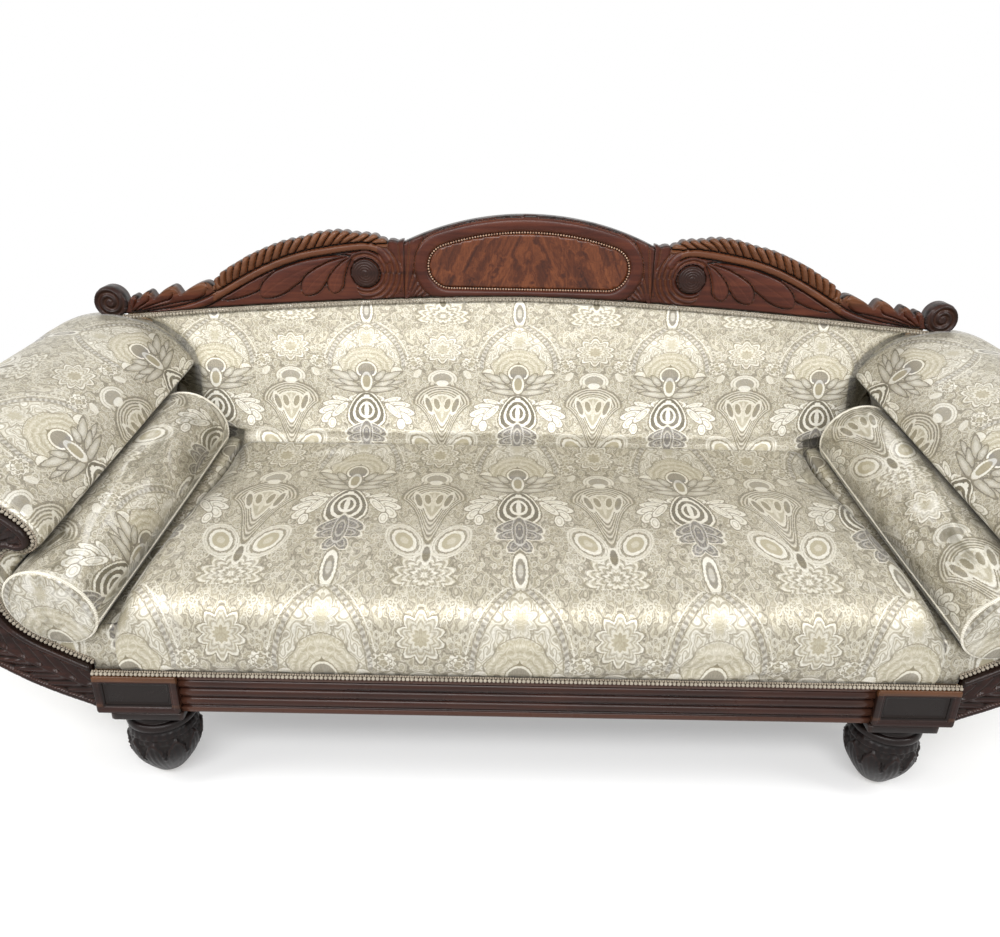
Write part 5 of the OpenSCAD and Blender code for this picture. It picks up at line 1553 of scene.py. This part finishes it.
def bolster(side):
    """A stuffed barrel with soft domed ends, cord round each end and down its seam."""
    name = "bolster_" + NAMES[side]
    r0, end_dome, turns = bolster_r - piping_r, 7, 112
    ends = [(r0*math.sin(a), end_dome*math.cos(a)) for a in np.linspace(0.04, math.pi/2, 14)]
    profile = [(r, -out) for r, out in ends]
    for share in np.linspace(0, 1, 60):
        swell = math.sin(math.pi*share)
        profile.append((r0 + 1.8 + (1.2 + 1.2*swell)*swell, lerp(6, bolster_len - 6, share)))
    profile += [(r, bolster_len + out) for r, out in ends[::-1]]
    angle = np.linspace(0, 2*math.pi, turns, endpoint=False)
    forward = bolster_dir*np.array([side, 1, 1])
    origin = bolster_front*np.array([side, 1, 1])
    across = np.cross(forward, [0, 0, 1.0])
    across /= np.linalg.norm(across)
    lift = np.cross(across, forward)

    def around(r):
        """The way out from the barrel's middle line at each angle, times a radius."""
        return np.outer(np.cos(angle)*r, across) + np.outer(np.sin(angle)*r, lift)

    rows, places = [], []
    for (r, along), w in zip(profile, lengths(np.array(profile))):
        pucker = 0.5*np.sin(angle*26)*bell(min(along, bolster_len - along), 8, 14.0)
        crease = 0.5*np.sin(angle*3 + along*0.02)*math.sin(math.pi*np.clip(along/bolster_len, 0, 1))
        on_barrel = r > r0*0.97
        rows.append(origin + forward*along + around(r + (pucker + crease - 0.9)*on_barrel))
        if 0.5 <= along <= bolster_len - 0.5:
            round_it = np.linspace(0, 2*math.pi*bolster_r, turns + 1)
            places.append(np.stack([round_it, np.full(turns + 1, (w - 260)*ARM_SQUEEZE)], 1))
        else:
            end_turn = np.append(angle, 0)
            places.append(np.stack([r*np.cos(end_turn)*side, r*np.sin(end_turn) + 70], 1))
    piece = wrapped("bolster_cloth_" + NAMES[side], rows, CLOTH_CRUSHED_SHADED, places, body=name, nodes=[name],
                    crease=80)
    for end, along in (("front", piping_r), ("back", bolster_len - piping_r)):
        tube(f"piping_{end}_{NAMES[side]}", origin + forward*along + around(r0), piping_r, True, name)
    seam_angle, margin = math.radians(200 if side > 0 else -20), 7
    out = math.cos(seam_angle)*across + math.sin(seam_angle)*lift
    share = np.linspace(0, 1, 60)[:, None]
    middle = lerp(origin + forward*margin, origin + forward*(bolster_len - margin), share)
    tube(f"piping_seam_{NAMES[side]}", middle + out*(r0 + 0.6 + 2.0*np.sin(math.pi*share)), 2.2, False, name)


def tube(name, path, radius, closed, body):
    """A fabric cord of round section along a path."""
    ahead = np.roll(path, -1, axis=0)
    behind = np.roll(path, 1, axis=0)
    centre = path.mean(0)
    if not closed:
        ahead[-1], behind[0] = path[-1], path[0]
        centre = centre + np.array([0, 0, 500.0])
    way = ahead - behind
    way /= np.linalg.norm(way, axis=1)[:, None]
    out = path - centre
    out -= (out*way).sum(1)[:, None]*way
    out /= np.linalg.norm(out, axis=1)[:, None]
    third = np.cross(way, out)
    turn = np.linspace(0, 2*math.pi, 8, endpoint=False)[None, :, None]
    rows = path[:, None] + radius*(np.cos(turn)*out[:, None] + np.sin(turn)*third[:, None])
    if closed:
        rows = closed_ring(rows)
    wrapped(name, rows, CORD, caps=not closed, body=body)


# Building
reeded_rail()
for hand in (-1, 1):
    corner_tablet(hand)
    arm_facing(hand)
    arm_pad(hand)
    arm_front_cloth(hand)
    arm_braid(hand)
    arm_outside(hand)
    arm_back_cover(hand)
    crest_wing(hand)
    bolster(hand)
for where in ("front_left", "front_right", "back_left", "back_right"):
    foot(where)
crest_tablet()
crest_beading()
seat_pad()
back_pad()
back_outside()
seat_braid()
crest_braid()

# Floor, lights, camera
def white_for_camera(tree, shader_socket, output, white_kind, mask=None):
    """Shows plain white to camera, glossy and transmitted rays, and the given shader to the rest."""
    path = new_node(tree, "LightPath")
    seen = Sum(tree, path.outputs["Is Camera Ray"])
    for ray in ("Is Glossy Ray", "Is Transmission Ray"):
        seen = seen.most(Sum(tree, path.outputs[ray]))
    if mask is not None:
        seen = seen*mask
    white = new_node(tree, white_kind, Color=(1, 1, 1, 1), Strength=1.0)
    choice = new_node(tree, "MixShader")
    for socket, value in zip(choice.inputs, (seen, shader_socket, white.outputs[0])):
        feed(tree, socket, value)
    feed(tree, output.inputs[0], choice.outputs[0])


def make_floor():
    """A white floor that takes a soft shadow near the settee and fades into plain white round it."""
    reach, shadow_reach, fade, shadow = 30.0, 1.25, 1.1, 0.62
    mesh = bpy.data.meshes.new("floor")
    mesh.from_pydata([(-reach, -reach, 0), (reach, -reach, 0), (reach, reach, 0), (-reach, reach, 0)], [],
                     [(0, 1, 2, 3)])
    floor = bpy.data.objects.new("floor", mesh)
    bpy.context.scene.collection.objects.link(floor)
    material, tree, shader = new_material("pale_floor")
    fed(tree, shader, Base_Color=(0.93, 0.93, 0.93, 1), Roughness=0.9, Specular_IOR_Level=0.1)
    x, y, _ = split_up(tree, new_node(tree, "NewGeometry").outputs["Position"])
    mask = 1.0 - (x*0.72).hypot(y).below(shadow_reach, fade)*shadow
    white_for_camera(tree, shader.outputs[0], tree.nodes["Material Output"], "Emission", mask)
    mesh.materials.append(material)


def make_world():
    world = bpy.data.worlds.new("studio")
    bpy.context.scene.world = world
    world.use_nodes = True
    tree = world.node_tree
    soft = fed(tree, tree.nodes["Background"], Color=(1.0, 0.995, 0.985, 1), Strength=0.40)
    white_for_camera(tree, soft.outputs[0], tree.nodes["World Output"], "Background")


def area_light(name, place, target, size, power):
    data = bpy.data.lights.new(name, "AREA")
    data.shape = "RECTANGLE"
    data.size, data.size_y = size
    data.energy = power
    lamp = bpy.data.objects.new(name, data)
    bpy.context.scene.collection.objects.link(lamp)
    lamp.location = place
    lamp.rotation_euler = (Vector(target) - Vector(place)).to_track_quat("-Z", "Y").to_euler()


def make_camera():
    """The photograph's camera: its place, tilt, turn and lens were solved from the picture."""
    tilt, turn, roll = 0.4158, 0.00707, 0.02223
    place = Vector((-0.06675, -1.22496 - MIDDLE_Y*MM, 1.20786))
    ahead = Vector((math.sin(turn)*math.cos(tilt), math.cos(turn)*math.cos(tilt), -math.sin(tilt)))
    right = Vector((math.cos(turn), -math.sin(turn), 0))
    up = right.cross(ahead)
    right_rolled = right*math.cos(roll) + up*math.sin(roll)
    up_rolled = up*math.cos(roll) - right*math.sin(roll)
    data = bpy.data.cameras.new("camera")
    data.sensor_width = 36.0
    data.lens = 30.64
    camera = bpy.data.objects.new("camera", data)
    bpy.context.scene.collection.objects.link(camera)
    camera.matrix_world = Matrix((right_rolled, up_rolled, -ahead)).transposed().to_4x4()
    camera.matrix_world.translation = place
    bpy.context.scene.camera = camera


make_floor()
make_world()
area_light("front_soft", (-0.35, -2.5, 2.75), (0, 0, 0.5), (3.4, 0.7), 99)
for hand in (-1, 1):
    area_light("side_soft_" + NAMES[hand], (hand*2.3, -0.9, 2.3), (hand*0.9, 0, 0.6), (0.7, 1.6), 37)
area_light("rear_soft", (0.2, 1.9, 2.9), (0, 0, 0.4), (3.6, 1.0), 16)
make_camera()
bpy.context.scene.view_settings.view_transform = "Standard"
